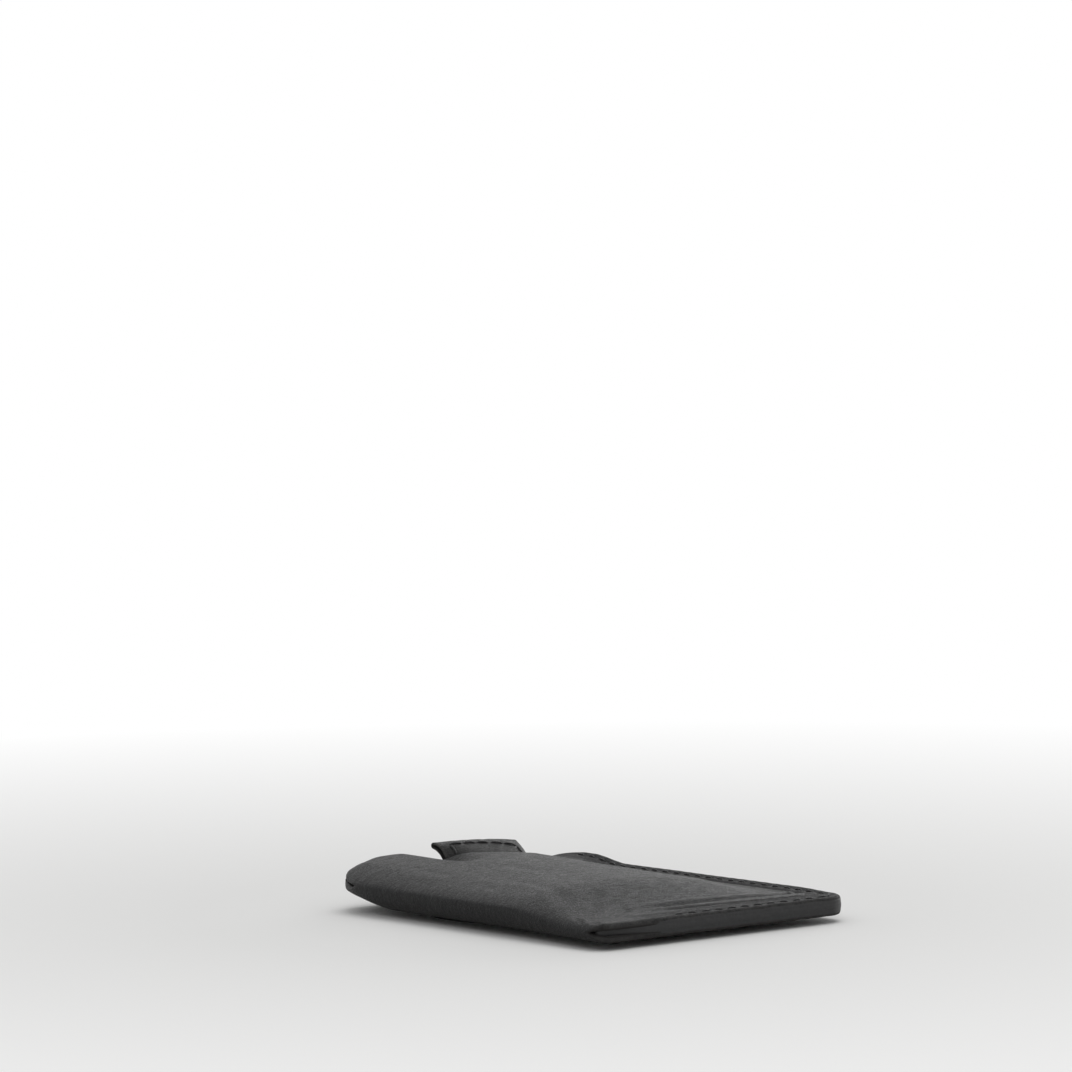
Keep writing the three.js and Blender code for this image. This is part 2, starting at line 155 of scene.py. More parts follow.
@dataclass(frozen=True)
class Form:
    """The pocket's shape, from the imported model's boxes and the same driving sizes as its source."""

    fold_x: float
    seam_x: float
    foot_y: float
    mouth_y: float
    back_z: float
    tab_x: float
    tab_width: float
    tab_end_y: float
    leather: float = 1.5
    lining: float = 0.9
    layer_gap: float = 0.15
    foot_seam_corner: float = 6.0
    foot_fold_corner: float = 4.0
    mouth_seam_corner: float = 6.0
    mouth_fold_corner: float = 10.2
    seam_margin: float = 6.5
    foot_margin: float = 6.0
    seam_ramp: float = 14.0
    foot_ramp: float = 25.0
    crown_rise: float = 4.5
    crown_ridge_x: float = -10.5
    crown_drop: float = 4.0
    crown_reach: float = 38.0
    mouth_growth: float = 0.24
    growth_start: float = 40.0
    growth_length: float = 50.0
    fold_top_reach: float = 9.0
    fold_top_reach_foot: float = 3.0
    fold_back_reach: float = 4.0
    fold_back_reach_foot: float = 3.0
    fold_nose_height: float = 6.4
    scoop_half_width: float = 16.0
    scoop_depth: float = 11.9
    scoop_squareness: float = 4.0
    sag: float = 2.1
    sag_from_tab: float = 3.0
    sag_width: float = 3.2
    sag_length: float = 12.0
    seam_curl: float = 1.4
    seam_curl_length: float = 20.0
    seam_curl_ramp: float = 12.0
    seam_curl_width: float = 23.0
    fold_curl: float = 3.0
    fold_curl_length: float = 21.0
    fold_curl_width: float = 14.0
    fold_curl_ramp: float = 12.0
    tip_slit: float = 0.03
    tip_roll: float = 3.6
    tip_start: float = 5.0
    tip_width: float = 14.0
    tip_ramp: float = 8.0
    margin_lift: float = 0.4
    margin_lift_start: float = 3.0
    margin_lift_ramp: float = 14.0

    @classmethod
    def from_frame(cls) -> "Form":
        """Reads the outline and the tab's place from the frame.

        Returns:
            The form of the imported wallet.
        """
        wrap_low, wrap_high = node_box("leather_wrap")
        tab_low, tab_high = node_box("pull_tab")
        tray_high = node_box("magnet_tray")[1]
        return cls(
            fold_x=float(wrap_low[0]),
            seam_x=float(wrap_high[0]),
            foot_y=float(wrap_low[1]),
            mouth_y=float(wrap_high[1]),
            back_z=float(tray_high[2]),
            tab_x=float(tab_low[0] + tab_high[0]) / 2,
            tab_width=float(tab_high[0] - tab_low[0]),
            tab_end_y=float(tab_high[1]),
        )

    @property
    def lining_z(self) -> float:
        """Height of the lining's underside."""
        return self.back_z + self.leather + self.layer_gap

    @property
    def rim_z(self) -> float:
        """Height of the front's outer face at the stitched edges."""
        return self.lining_z + self.lining + self.layer_gap + self.leather

    @property
    def scoop_y(self) -> float:
        """The lowest point of the thumb scoop."""
        return self.mouth_y - self.scoop_depth

    def foot_edge(self, x: np.ndarray) -> np.ndarray:
        """The foot edge at x."""
        seam = corner_inset(self.foot_seam_corner, self.seam_x - x)
        return self.foot_y + seam + corner_inset(self.foot_fold_corner, x - self.fold_x)

    def back_mouth_edge(self, x: np.ndarray) -> np.ndarray:
        """The mouth edge of the back and the lining at x."""
        seam = corner_inset(self.mouth_seam_corner, self.seam_x - x)
        return self.mouth_y - seam - corner_inset(self.mouth_fold_corner, x - self.fold_x)

    def front_mouth_edge(self, x: np.ndarray) -> np.ndarray:
        """The mouth edge of the front at x, with its thumb scoop."""
        across = np.abs(x - self.tab_x) / self.scoop_half_width
        return self.back_mouth_edge(x) - self.scoop_depth * np.exp(-(across**self.scoop_squareness))

    def mouth_edge(self, panel: Panel, x: np.ndarray) -> np.ndarray:
        """The mouth edge of one panel at x."""
        return self.front_mouth_edge(x) if panel is Panel.FRONT else self.back_mouth_edge(x)

    def fold_reach(self, panel: Panel) -> tuple[float, float]:
        """How far the roll of the fold reaches into one panel, at the foot and inside."""
        if panel is Panel.FRONT:
            return self.fold_top_reach_foot, self.fold_top_reach
        return self.fold_back_reach_foot, self.fold_back_reach

    def foot_rise(self, y: np.ndarray) -> np.ndarray:
        """0 on the flat foot margin, 1 where the pocket is at its full height."""
        return ease((y - self.foot_y - self.foot_margin) / self.foot_ramp)

    def corner_curl(self, x: np.ndarray, y: np.ndarray) -> np.ndarray:
        """The curl of the seam-side mouth corner, shared by every layer.

        Args:
            x: Places across the panel.
            y: Places along the panel.

        Returns:
            The rise in millimetres.
        """
        along = ease((y - (self.mouth_y - self.seam_curl_length)) / self.seam_curl_ramp)
        across = ease((x - (self.seam_x - self.seam_curl_width)) / self.seam_curl_width)
        return self.seam_curl * along * across

    def tip_pinch(self, x: np.ndarray, y: np.ndarray) -> np.ndarray:
        """1 where the panels meet at the rounded end of the mouth beside the fold.

        It is a quarter circle over the distance from the cut edge, so that the end is a round nose.

        Args:
            x: Places across the panel.
            y: Places along the panel.

        Returns:
            Values from 0 to 1.
        """
        corner = self.mouth_fold_corner
        into_x = np.clip(self.fold_x + corner - x, 0, corner)
        into_y = np.clip(y - (self.mouth_y - corner), 0, corner)
        edge = np.maximum(corner - np.hypot(into_x, into_y), 0)
        short = np.clip(1 - edge / self.tip_roll, 0, 1)
        roll = 1 - np.sqrt(np.clip(1 - short**2, 0, 1))
        across = ease((self.fold_x + self.tip_width - x) / self.tip_ramp)
        return roll * across * ease(into_y / self.tip_start)

    def margin_rise(self, x: np.ndarray, y: np.ndarray) -> np.ndarray:
        """How far the sewn edge of the seam side turns up, in every layer.

        Args:
            x: Places across the panel.
            y: Places along the panel.

        Returns:
            The rise in millimetres.
        """
        across = np.clip((x - self.seam_x + self.seam_margin) / self.seam_margin, 0, 1)
        from_foot = ease((y - self.foot_y - self.margin_lift_start) / self.margin_lift_ramp)
        return self.margin_lift * across**1.5 * from_foot

    def open_back(self, x: np.ndarray, y: np.ndarray) -> np.ndarray:
        """Height of the phone side of the back panel before the end of the mouth is closed.

        It is a level panel that curls up at both corners of the mouth.

        Args:
            x: Places across the panel.
            y: Places along the panel.

        Returns:
            The heights.
        """
        along = ease((y - (self.mouth_y - self.fold_curl_length)) / self.fold_curl_length)
        across = ease((self.fold_x + self.fold_curl_width - x) / self.fold_curl_ramp)
        curl = self.corner_curl(x, y) + self.margin_rise(x, y) + self.fold_curl * along * across
        return self.back_z + curl

    def open_front(self, x: np.ndarray, y: np.ndarray) -> np.ndarray:
        """Height of the outer face of the front panel before the end of the mouth is closed.

        It is a crown, a parabola across that fades out at the sewn margins and grows towards the
        mouth, less a bell-shaped sag beside the tab.

        Args:
            x: Places across the panel.
            y: Places along the panel.

        Returns:
            The heights.
        """
        bow = ((x - self.crown_ridge_x) / self.crown_reach) ** 2
        crown = self.crown_rise - self.crown_drop * bow
        growth = 1 + self.mouth_growth * ease((y - self.foot_y - self.growth_start) / self.growth_length)
        sag_x = self.tab_x - self.tab_width / 2 - self.sag_from_tab
        sag_share = ease((y - (self.scoop_y - self.sag_length)) / self.sag_length)
        sag = self.sag * bell(x - sag_x, self.sag_width) * sag_share
        seam_rise = ease((self.seam_x - self.seam_margin - x) / self.seam_ramp)
        bulge = crown * growth * seam_rise * self.foot_rise(y)
        return self.rim_z + bulge - sag + self.corner_curl(x, y) + self.margin_rise(x, y)

    def tip_closing(self, x: np.ndarray, y: np.ndarray) -> np.ndarray:
        """How far each panel moves towards the other at the fold end of the mouth."""
        space = self.open_front(x, y) - self.open_back(x, y) - 2 * self.leather - self.tip_slit
        return self.tip_pinch(x, y) * np.maximum(space, 0) / 2

    def back_height(self, x: np.ndarray, y: np.ndarray) -> np.ndarray:
        """Height of the phone side of the back panel."""
        return self.open_back(x, y) + self.tip_closing(x, y)

    def front_height(self, x: np.ndarray, y: np.ndarray) -> np.ndarray:
        """Height of the outer face of the front panel."""
        return self.open_front(x, y) - self.tip_closing(x, y)

    def height(self, panel: Panel, x: np.ndarray, y: np.ndarray) -> np.ndarray:
        """Height of the outer face of one panel."""
        return self.front_height(x, y) if panel is Panel.FRONT else self.back_height(x, y)

    def nose_height(self, y: np.ndarray) -> np.ndarray:
        """Height of the outermost line of the fold."""
        return lerp((self.back_z + self.rim_z) / 2, self.fold_nose_height, self.foot_rise(y))


@dataclass(frozen=True)
class Crease:
    """A soft valley in the leather that runs across the front from one point to another."""

    start: tuple[float, float]
    end: tuple[float, float]
    depth: float
    width: float
    bow: float = 0.0
    fade_in: float = 0.22
    fade_out: float = 0.12
    ridge: float = 0.45
    ridge_place: float = 1.9

    def relief(self, x: np.ndarray, y: np.ndarray) -> np.ndarray:
        """Depth of the valley, with a low ridge along each side.

        Args:
            x: Places across the panel.
            y: Places along the panel.

        Returns:
            Depth into the leather, in millimetres.
        """
        start = np.array(self.start)
        line = np.array(self.end) - start
        length = float(np.hypot(*line))
        along = ((x - start[0]) * line[0] + (y - start[1]) * line[1]) / length
        across = ((y - start[1]) * line[0] - (x - start[0]) * line[1]) / length
        share = along / length
        offset = across - self.bow * np.sin(np.clip(share, 0, 1) * math.pi)
        fade = ease(share / self.fade_in) * ease((1 - share) / self.fade_out)
        from_ridge = np.abs(offset) - self.ridge_place * self.width
        valley = bell(offset, self.width) - self.ridge * bell(from_ridge, self.width)
        return self.depth * fade * valley


@dataclass(frozen=True)
class SeamLook:
    """How the sewn margins look."""

    inset: float = 2.4
    pitch: float = 3.6
    thread: float = 0.5
    stitch: float = 2.1
    groove: float = 0.24
    groove_width: float = 0.75
    pucker: float = 0.09
    edge_round: float = 0.75
    tip_round: float = 1.2
    inner_round: float = 0.3
    start: float = 22.0
    fade_lead: float = 2.0
    fade_in: float = 4.0
    mouth_gap: float = 2.0
    fade_out: float = 3.0
    pucker_shift: float = 0.1
    pucker_width: float = 1.7


CREASES = (
    Crease((-17, -54.0), (29.5, -57.0), 0.40, 0.55, 0.2),
    Crease((-20, -51.0), (31, -52.0), 0.34, 0.85, 0.3),
    Crease((26.9, -60), (27.1, 16), 0.36, 0.65, -0.2),
    Crease((-35, -60), (-19, -50), 0.26, 1.2, 0.5),
    Crease((-36, -58), (-17, -38), 0.16, 1.5, 1.2),
    Crease((-34, -51), (-23, -18), 0.12, 1.6, -1.4),
    Crease((-31, -40), (-27.5, 12), 0.08, 1.9, 1.5),
    Crease((-16, -42), (-10, 8), 0.05, 2.1, 1.3),
    Crease((3, -36), (8, 10), 0.06, 2.2, -1.4),
    Crease((19, -46), (21, -6), 0.05, 1.6, 0.9),
)


@dataclass(frozen=True)
class Ripple:
    """Smooth unevenness of a surface: 14 sine waves of seeded direction, length and phase."""

    depth: float
    seed: int
    size: float
    stretch: float
    waves: int = 14
    tilt: float = 0.35
    shortest: float = 0.6
    longest: float = 1.7
    share: float = 5.0

    def relief(self, x: np.ndarray, y: np.ndarray) -> np.ndarray:
        """Sum of the waves, each longer along the surface than across it.

        Args:
            x: Places across the surface.
            y: Places along the surface.

        Returns:
            Values of about minus the depth to the depth.
        """
        random = np.random.default_rng(self.seed)
        angle = random.normal(0.0, self.tilt, self.waves)
        turn = 2 * math.pi / (self.size * random.uniform(self.shortest, self.longest, self.waves))
        phase = random.uniform(0, 2 * math.pi, self.waves)
        u = x[..., None] * np.cos(angle) + y[..., None] * np.sin(angle) / self.stretch
        return self.depth * (np.sin(u * turn + phase).sum(axis=-1) / self.share)


def finish_mesh(
    name: str,
    points: np.ndarray,
    faces: np.ndarray,
    uv: np.ndarray | None = None,
    attributes: dict[str, np.ndarray] | None = None,
) -> bpy.types.Object:
    """Makes a smooth mesh object from arrays.

    Args:
        name: Object name.
        points: Vertices in millimetres, in the row frame.
        faces: Quads as rows of four vertex numbers.
        uv: A pair of millimetre values for each vertex, if the finish needs them.
        attributes: Named values, one for each vertex.

    Returns:
        The new object, linked to the scene.
    """
    mesh = bpy.data.meshes.new(name)
    mesh.vertices.add(len(points))
    mesh.vertices.foreach_set("co", (points * MM).astype(np.float32).ravel())
    mesh.loops.add(faces.size)
    mesh.loops.foreach_set("vertex_index", faces.astype(np.int32).ravel())
    mesh.polygons.add(len(faces))
    mesh.polygons.foreach_set("loop_start", np.arange(0, faces.size, 4, dtype=np.int32))
    mesh.polygons.foreach_set("loop_total", np.full(len(faces), 4, dtype=np.int32))
    mesh.update(calc_edges=True)
    mesh.polygons.foreach_set("use_smooth", np.ones(len(faces), dtype=bool))
    if uv is not None:
        layer = mesh.uv_layers.new(name="millimetres")
        layer.data.foreach_set("uv", uv[faces.ravel()].astype(np.float32).ravel())
    for key, values in (attributes or {}).items():
        attribute = mesh.attributes.new(key, "FLOAT", "POINT")
        attribute.data.foreach_set("value", values.astype(np.float32))
    obj = bpy.data.objects.new(name, mesh)
    bpy.context.scene.collection.objects.link(obj)
    return obj


def grid_faces(rows: int, columns: int, first: int = 0, flip: bool = False) -> np.ndarray:
    """Quads of a grid of points.

    Args:
        rows: Number of rows of points.
        columns: Number of columns of points.
        first: Number of the grid's first vertex.
        flip: Whether to turn the quads over.

    Returns:
        Rows of four vertex numbers.
    """
    number = first + np.arange(rows * columns).reshape(rows, columns)
    corners = (number[:-1, :-1], number[1:, :-1], number[1:, 1:], number[:-1, 1:])
    faces = np.stack([corner.ravel() for corner in corners], axis=1)
    return faces[:, ::-1] if flip else faces


def closed_sheet(
    name: str,
    outer: np.ndarray,
    inner: np.ndarray,
    uv: np.ndarray,
    rim: np.ndarray,
    margin: np.ndarray | None = None,
) -> bpy.types.Object:
    """Joins two matching grids of points into one closed sheet.

    Args:
        name: Object name.
        outer: Outer grid, rows by columns by 3.
        inner: Inner grid of the same shape.
        uv: Millimetre values for each grid point.
        rim: Nearness of each grid point to a cut edge, 0 to 1.
        margin: 1 on a sewn margin, 0 elsewhere, left out where there is none.

    Returns:
        The sheet, with the attributes "rim", "inside" and "margin".
    """
    rows, columns = outer.shape[:2]
    count = rows * columns
    number = np.arange(count).reshape(rows, columns)
    loop = np.concatenate([number[0, :-1], number[:-1, -1], number[-1, :0:-1], number[:0:-1, 0]])
    after = np.roll(loop, -1)
    wall = np.stack([loop, after, after + count, loop + count], axis=1)
    faces = np.concatenate(
        [grid_faces(rows, columns), grid_faces(rows, columns, count, flip=True), wall]
    )
    points = np.concatenate([outer.reshape(-1, 3), inner.reshape(-1, 3)])
    flat_rim = np.tile(rim.ravel(), 2)
    inside = np.repeat([0.0, 1.0], count)
    both_uv = np.tile(uv.reshape(-1, 2), (2, 1))
    sewn = np.zeros(2 * count) if margin is None else np.tile(margin.ravel(), 2)
    attributes = {"rim": flat_rim, "inside": inside, "margin": sewn}
    return finish_mesh(name, points, faces, both_uv, attributes)


def edge_stations(length: float, radius: float, steps: int, spacing: float) -> np.ndarray:
    """Shares of a length, crowded near both ends so that they show a rounded edge.

    Args:
        length: The length.
        radius: Radius of the rounding at the ends.
        steps: Stations in each rounding.
        spacing: Spacing between them.

    Returns:
        Rising values from 0 to 1.
    """
    bend = radius * (1 - np.cos(np.linspace(0, math.pi / 2, steps + 1)))
    middle = np.linspace(radius, length - radius, max(2, round(length / spacing)))
    return np.concatenate([bend[:-1], middle, length - bend[:-1][::-1]]) / length


def run_along(line: np.ndarray) -> np.ndarray:
    """Distance from the start of a line to each of its points.

    Args:
        line: Points of the line.

    Returns:
        Rising distances, the first 0.
    """
    return np.concatenate([[0.0], np.cumsum(np.linalg.norm(np.diff(line, axis=0), axis=1))])


@dataclass(frozen=True)
class FlatLine:
    """One line of the wrap along its length, on the flat of a panel."""

    form: Form
    panel: Panel
    x: float

    @property
    def foot(self) -> float:
        """Where it starts, at the foot edge."""
        return float(self.form.foot_edge(self.x))

    @property
    def mouth(self) -> float:
        """Where it ends, at the mouth edge."""
        return float(self.form.mouth_edge(self.panel, self.x))

    def place(self, y: np.ndarray, depth: np.ndarray) -> tuple[np.ndarray, np.ndarray]:
        """Points of the line: x stays the same, and z is the panel's height less the depth.

        Args:
            y: Places along the line.
            depth: Depth inside the skin.

        Returns:
            x and z of each place.
        """
        height = self.form.height(self.panel, self.x, y)
        return np.full_like(y, self.x), height - self.panel.value * depth


@dataclass(frozen=True)
class FoldLine:
    """One line of the wrap along its length, on the roll of the fold."""

    form: Form
    panel: Panel
    angle: float

    @property
    def turn(self) -> float:
        """Share of the roll's reach that lies between the nose and this line."""
        return 1 - math.cos(self.angle)

    @property
    def x(self) -> float:
        """Its place across, away from the foot."""
        return self.form.fold_x + self.form.fold_reach(self.panel)[1] * self.turn

    @property
    def foot(self) -> float:
        """Where it starts, at the foot edge."""
        at_foot = self.form.fold_reach(self.panel)[0]
        return float(self.form.foot_edge(self.form.fold_x + at_foot * self.turn))

    @property
    def mouth(self) -> float:
        """Where it ends, at the mouth edge."""
        return float(self.form.mouth_edge(self.panel, self.x))

    def place(self, y: np.ndarray, depth: np.ndarray) -> tuple[np.ndarray, np.ndarray]:
        """Points on an ellipse from the nose of the fold to the flat panel.

        Args:
            y: Places along the line.
            depth: Depth inside the skin.

        Returns:
            x and z of each place.
        """
        form = self.form
        at_foot, inside = form.fold_reach(self.panel)
        reach = lerp(at_foot, inside, form.foot_rise(y))
        nose = form.nose_height(y)
        flat = form.height(self.panel, form.fold_x + reach * self.turn, y)
        rise = flat - self.panel.value * depth - nose
        x = form.fold_x + reach - (reach - depth) * math.cos(self.angle)
        return x, nose + rise * math.sin(self.angle)


@dataclass(frozen=True)
class LeatherWrap:
    """The one-piece wrap: back, fold and front, with its cut edges, seams and creases."""

    form: Form
    seam: SeamLook
    back_spacing: float = 0.8
    front_spacing: float = 0.52
    length_spacing: float = 0.56
    fold_steps: int = 18
    corner_steps: int = 13
    round_steps: int = 5
    broad_wave: Ripple = Ripple(0.035, 11, 8.0, 1.6)
    fine_wave: Ripple = Ripple(0.012, 17, 2.4, 0.5)
    hand_wave: Ripple = Ripple(0.02, 5, 5.0, 1.2)
    wave_ramp: float = 10.0
    inner_follows_from: float = 3.0
    inner_follows_ramp: float = 4.0
    rim_width: float = 0.6
    margin_past: float = 0.2
    margin_fade: float = 1.2
    margin_from_fold: float = 9.0
    margin_fold_ramp: float = 8.0

    def flat_stations(self, start: float, spacing: float) -> np.ndarray:
        """Values of x from the fold to the seam edge, crowded at the rounded corners.

        Args:
            start: First value of x.
            spacing: Spacing away from the corners.

        Returns:
            Rising values of x.
        """
        corner = max(self.form.foot_seam_corner, self.form.mouth_seam_corner)
        turn = self.form.seam_x - corner
        inner = np.arange(start, turn, spacing)
        angles = np.linspace(0, math.pi / 2, self.corner_steps + 1)
        return np.concatenate([inner, turn + corner * np.sin(angles)])

    def lines(self) -> list[FlatLine | FoldLine]:
        """All lines, from the seam edge of the back, round the fold, to the seam edge of the front.

        Returns:
            The lines in order.
        """
        form = self.form
        back = self.flat_stations(form.fold_x + form.fold_back_reach, self.back_spacing)
        front = self.flat_stations(form.fold_x + form.fold_top_reach, self.front_spacing)
        angles = np.linspace(0, math.pi / 2, self.fold_steps + 1)
        lines = [FlatLine(form, Panel.BACK, float(x)) for x in back[::-1]]
        lines += [FoldLine(form, Panel.BACK, float(angle)) for angle in angles[-2:0:-2]]
        lines += [FoldLine(form, Panel.FRONT, float(angle)) for angle in angles[:-1]]
        lines += [FlatLine(form, Panel.FRONT, float(x)) for x in front]
        return lines

    def seam_relief(self, x: np.ndarray, y: np.ndarray) -> np.ndarray:
        """The groove that the stitches pull into a sewn margin, with its puckers.

        A bell across the distance from the cut edge, and a cosine of one stitch's pitch along it.

        Args:
            x: Places across the panel.
            y: Places along the panel.

        Returns:
            Depth into the leather.
        """
        form, seam = self.form, self.seam
        corner = form.foot_seam_corner
        over_x = np.clip(x - (form.seam_x - corner), 0, None)
        over_y = np.clip((form.foot_y + corner) - y, 0, None)
        inside = (over_x > 0) & (over_y > 0)
        round_corner = corner - np.hypot(over_x, over_y)
        straight = np.minimum(form.seam_x - x, y - form.foot_y)
        edge = np.where(inside, round_corner, straight)
        nearer_seam = form.seam_x - x < y - form.foot_y
        run = np.where(nearer_seam, y - form.foot_y, form.seam_x - x)
        begins = ease((x - form.fold_x - seam.start + seam.fade_lead) / seam.fade_in)
        ends = ease((form.mouth_y - seam.mouth_gap - y) / seam.fade_out)
        groove = seam.groove * bell(edge - seam.inset, seam.groove_width)
        wave = 0.5 + 0.5 * np.cos(2 * math.pi * run / seam.pitch)
        swell = bell(edge - seam.inset + seam.pucker_shift, seam.pucker_width) * wave
        return begins * ends * (groove + seam.pucker * swell)

    def relief(self, x: np.ndarray, y: np.ndarray, front: np.ndarray) -> np.ndarray:
        """All soft unevenness of the skin.

        Args:
            x: Places across the panel.
            y: Places along the panel.
            front: 1 on the front, 0 on the back.

        Returns:
            Depth into the leather, negative where it swells.
        """
        form = self.form
        creases = sum(crease.relief(x, y) for crease in CREASES)
        loose = form.foot_rise(y) * ease((form.seam_x - form.seam_margin - x) / self.wave_ramp)
        waves = (self.broad_wave.relief(x, y) + self.fine_wave.relief(x, y)) * loose
        return front * (creases + waves) + self.hand_wave.relief(x, y)

    def skin(self, lines: list[FlatLine | FoldLine], y: np.ndarray, depth: np.ndarray) -> np.ndarray:
        """The wrap's points at a depth inside its outer face.

        Args:
            lines: The lines of the wrap.
            y: Places along each line, one row for each.
            depth: Depth at each place.

        Returns:
            Points, lines by places by 3.
        """
        grid = np.zeros((*y.shape, 3))
        for index, line in enumerate(lines):
            grid[index, :, 0], grid[index, :, 2] = line.place(y[index], depth[index])
            grid[index, :, 1] = y[index]
        return grid

    def build(self) -> bpy.types.Object:
        """Makes the wrap.

        Returns:
            The wrap, which stands for the CAD node.
        """
        form, seam = self.form, self.seam
        lines = self.lines()
        length = form.mouth_y - form.foot_y
        shares = edge_stations(length, seam.edge_round, self.round_steps, self.length_spacing)
        foot = np.array([line.foot for line in lines])
        mouth = np.array([line.mouth for line in lines])
        y = foot[:, None] + (mouth - foot)[:, None] * shares[None, :]

        middle = self.skin(lines, y, np.zeros_like(y))[:, len(shares) // 2]
        girth = run_along(middle)
        slope_foot = np.gradient(foot, girth)[:, None]
        slope_mouth = np.gradient(mouth, girth)[:, None]
        from_foot = (y - foot[:, None]) / np.sqrt(1 + slope_foot**2)
        from_mouth = (mouth[:, None] - y) / np.sqrt(1 + slope_mouth**2)
        from_seam = np.minimum(girth, girth[-1] - girth)[:, None]
        edge = np.minimum(np.minimum(from_foot, from_mouth), from_seam)

        x = np.array([line.x for line in lines])[:, None] + 0 * y
        front = np.array([float(line.panel is Panel.FRONT) for line in lines])[:, None] + 0 * y
        soft = self.relief(x, y, front)
        tip = form.tip_pinch(x, y)
        rounding = corner_inset(lerp(seam.edge_round, seam.tip_round, tip), edge)
        outer = self.skin(lines, y, rounding + soft + self.seam_relief(x, y))
        bevel = corner_inset(seam.inner_round, edge) * (1 - tip)
        follows = ease((edge - self.inner_follows_from) / self.inner_follows_ramp)
        inner = self.skin(lines, y, form.leather - bevel + soft * follows)
        uv = np.stack([np.broadcast_to(girth[:, None], y.shape), y], axis=-1)
        from_sewn = np.minimum(form.seam_x - x, y - form.foot_y)
        margin = ease((form.seam_margin + self.margin_past - from_sewn) / self.margin_fade)
        margin = margin * ease((x - form.fold_x - self.margin_from_fold) / self.margin_fold_ramp)
        wrap = closed_sheet("leather_pocket", outer, inner, uv, bell(edge, self.rim_width), margin)
        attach(wrap, ROOT_BODY)
        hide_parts("leather_wrap")
        return wrap

    def dress(self, wrap: bpy.types.Object) -> None:
        """Gives the wrap its leather."""
        # The last colour lightens the rims: rubbing wear and a painted highlight along the cut edges.
        dress(wrap, LeatherFinish("pocket_leather", 0.45, 0.1, "0f0f10", "1c1c1c", "2e2d2c"))


@dataclass(frozen=True)
class SuedeLining:
    """The suede skin on the inside of the back, squeezed where the front comes down on it."""

    form: Form
    bend: float = 0.25
    spacing: float = 0.9
    round_steps: int = 3
    corner_steps: int = 8
    corner_from: float = 0.15
    mouth_short: float = 2.0
    mouth_short_reach: float = 14.0
    foot_short: float = 2.5
    foot_short_reach: float = 24.0
    short_ramp: float = 8.0
    steepest: float = 3.0
    nap: Ripple = Ripple(0.02, 23, 4.0, 1.0)
    nap_ramp: float = 2.0
    room_under_front: float = 0.3
    least_thickness: float = 0.1
    under_round: float = 0.6
    rim_width: float = 0.8

    def build(self) -> bpy.types.Object:
        """Makes the lining over a plan grid, between its own height and the front above it.

        Returns:
            The lining, which stands for its CAD node.
        """
        form, bend = self.form, self.bend
        low, high = node_box("pocket_lining")
        across = edge_stations(high[0] - low[0], bend, self.round_steps, self.spacing)
        angles = np.linspace(self.corner_from, math.pi / 2, self.corner_steps)
        corner = high[0] - form.foot_seam_corner + form.foot_seam_corner * np.sin(angles)
        x_line = np.unique(np.concatenate([low[0] + across * (high[0] - low[0]), corner]))
        shares = edge_stations(high[1] - low[1], bend, self.round_steps, self.spacing)
        mouth_near = ease((form.fold_x + self.mouth_short_reach - x_line) / self.short_ramp)
        foot_near = ease((form.fold_x + self.foot_short_reach - x_line) / self.short_ramp)
        foot = form.foot_edge(x_line) + self.foot_short * foot_near
        mouth = form.back_mouth_edge(x_line) - self.mouth_short * mouth_near
        y = foot[:, None] + (mouth - foot)[:, None] * shares[None, :]
        x = x_line[:, None] + 0 * y
        slope = np.abs(np.gradient(mouth, x_line))[:, None]
        edge = np.minimum(np.minimum(y - foot[:, None], mouth[:, None] - y), high[0] - x)
        edge = edge / np.sqrt(1 + np.minimum(slope, self.steepest) ** 2)
        rounding = corner_inset(bend, edge)
        base = form.back_height(x, y) - form.back_z + form.lining_z
        top = base + form.lining - rounding + self.nap.relief(x, y) * ease(edge / self.nap_ramp)
        under_front = form.front_height(x, y) - form.leather - form.layer_gap
        bottom = np.minimum(base, under_front - self.room_under_front) + rounding * self.under_round
        top = np.maximum(np.minimum(top, under_front), bottom + self.least_thickness)
        upper = np.stack([x, y, top], axis=-1)
        lower = np.stack([x, y, bottom], axis=-1)
        plan = np.stack([x, y], axis=-1)
        lining = closed_sheet("suede_lining", upper, lower, plan, bell(edge, self.rim_width))
        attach(lining, ROOT_BODY)
        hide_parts("pocket_lining")
        return lining

    def dress(self, lining: bpy.types.Object) -> None:
        """Gives the lining its suede."""
        dress(lining, SuedeFinish())


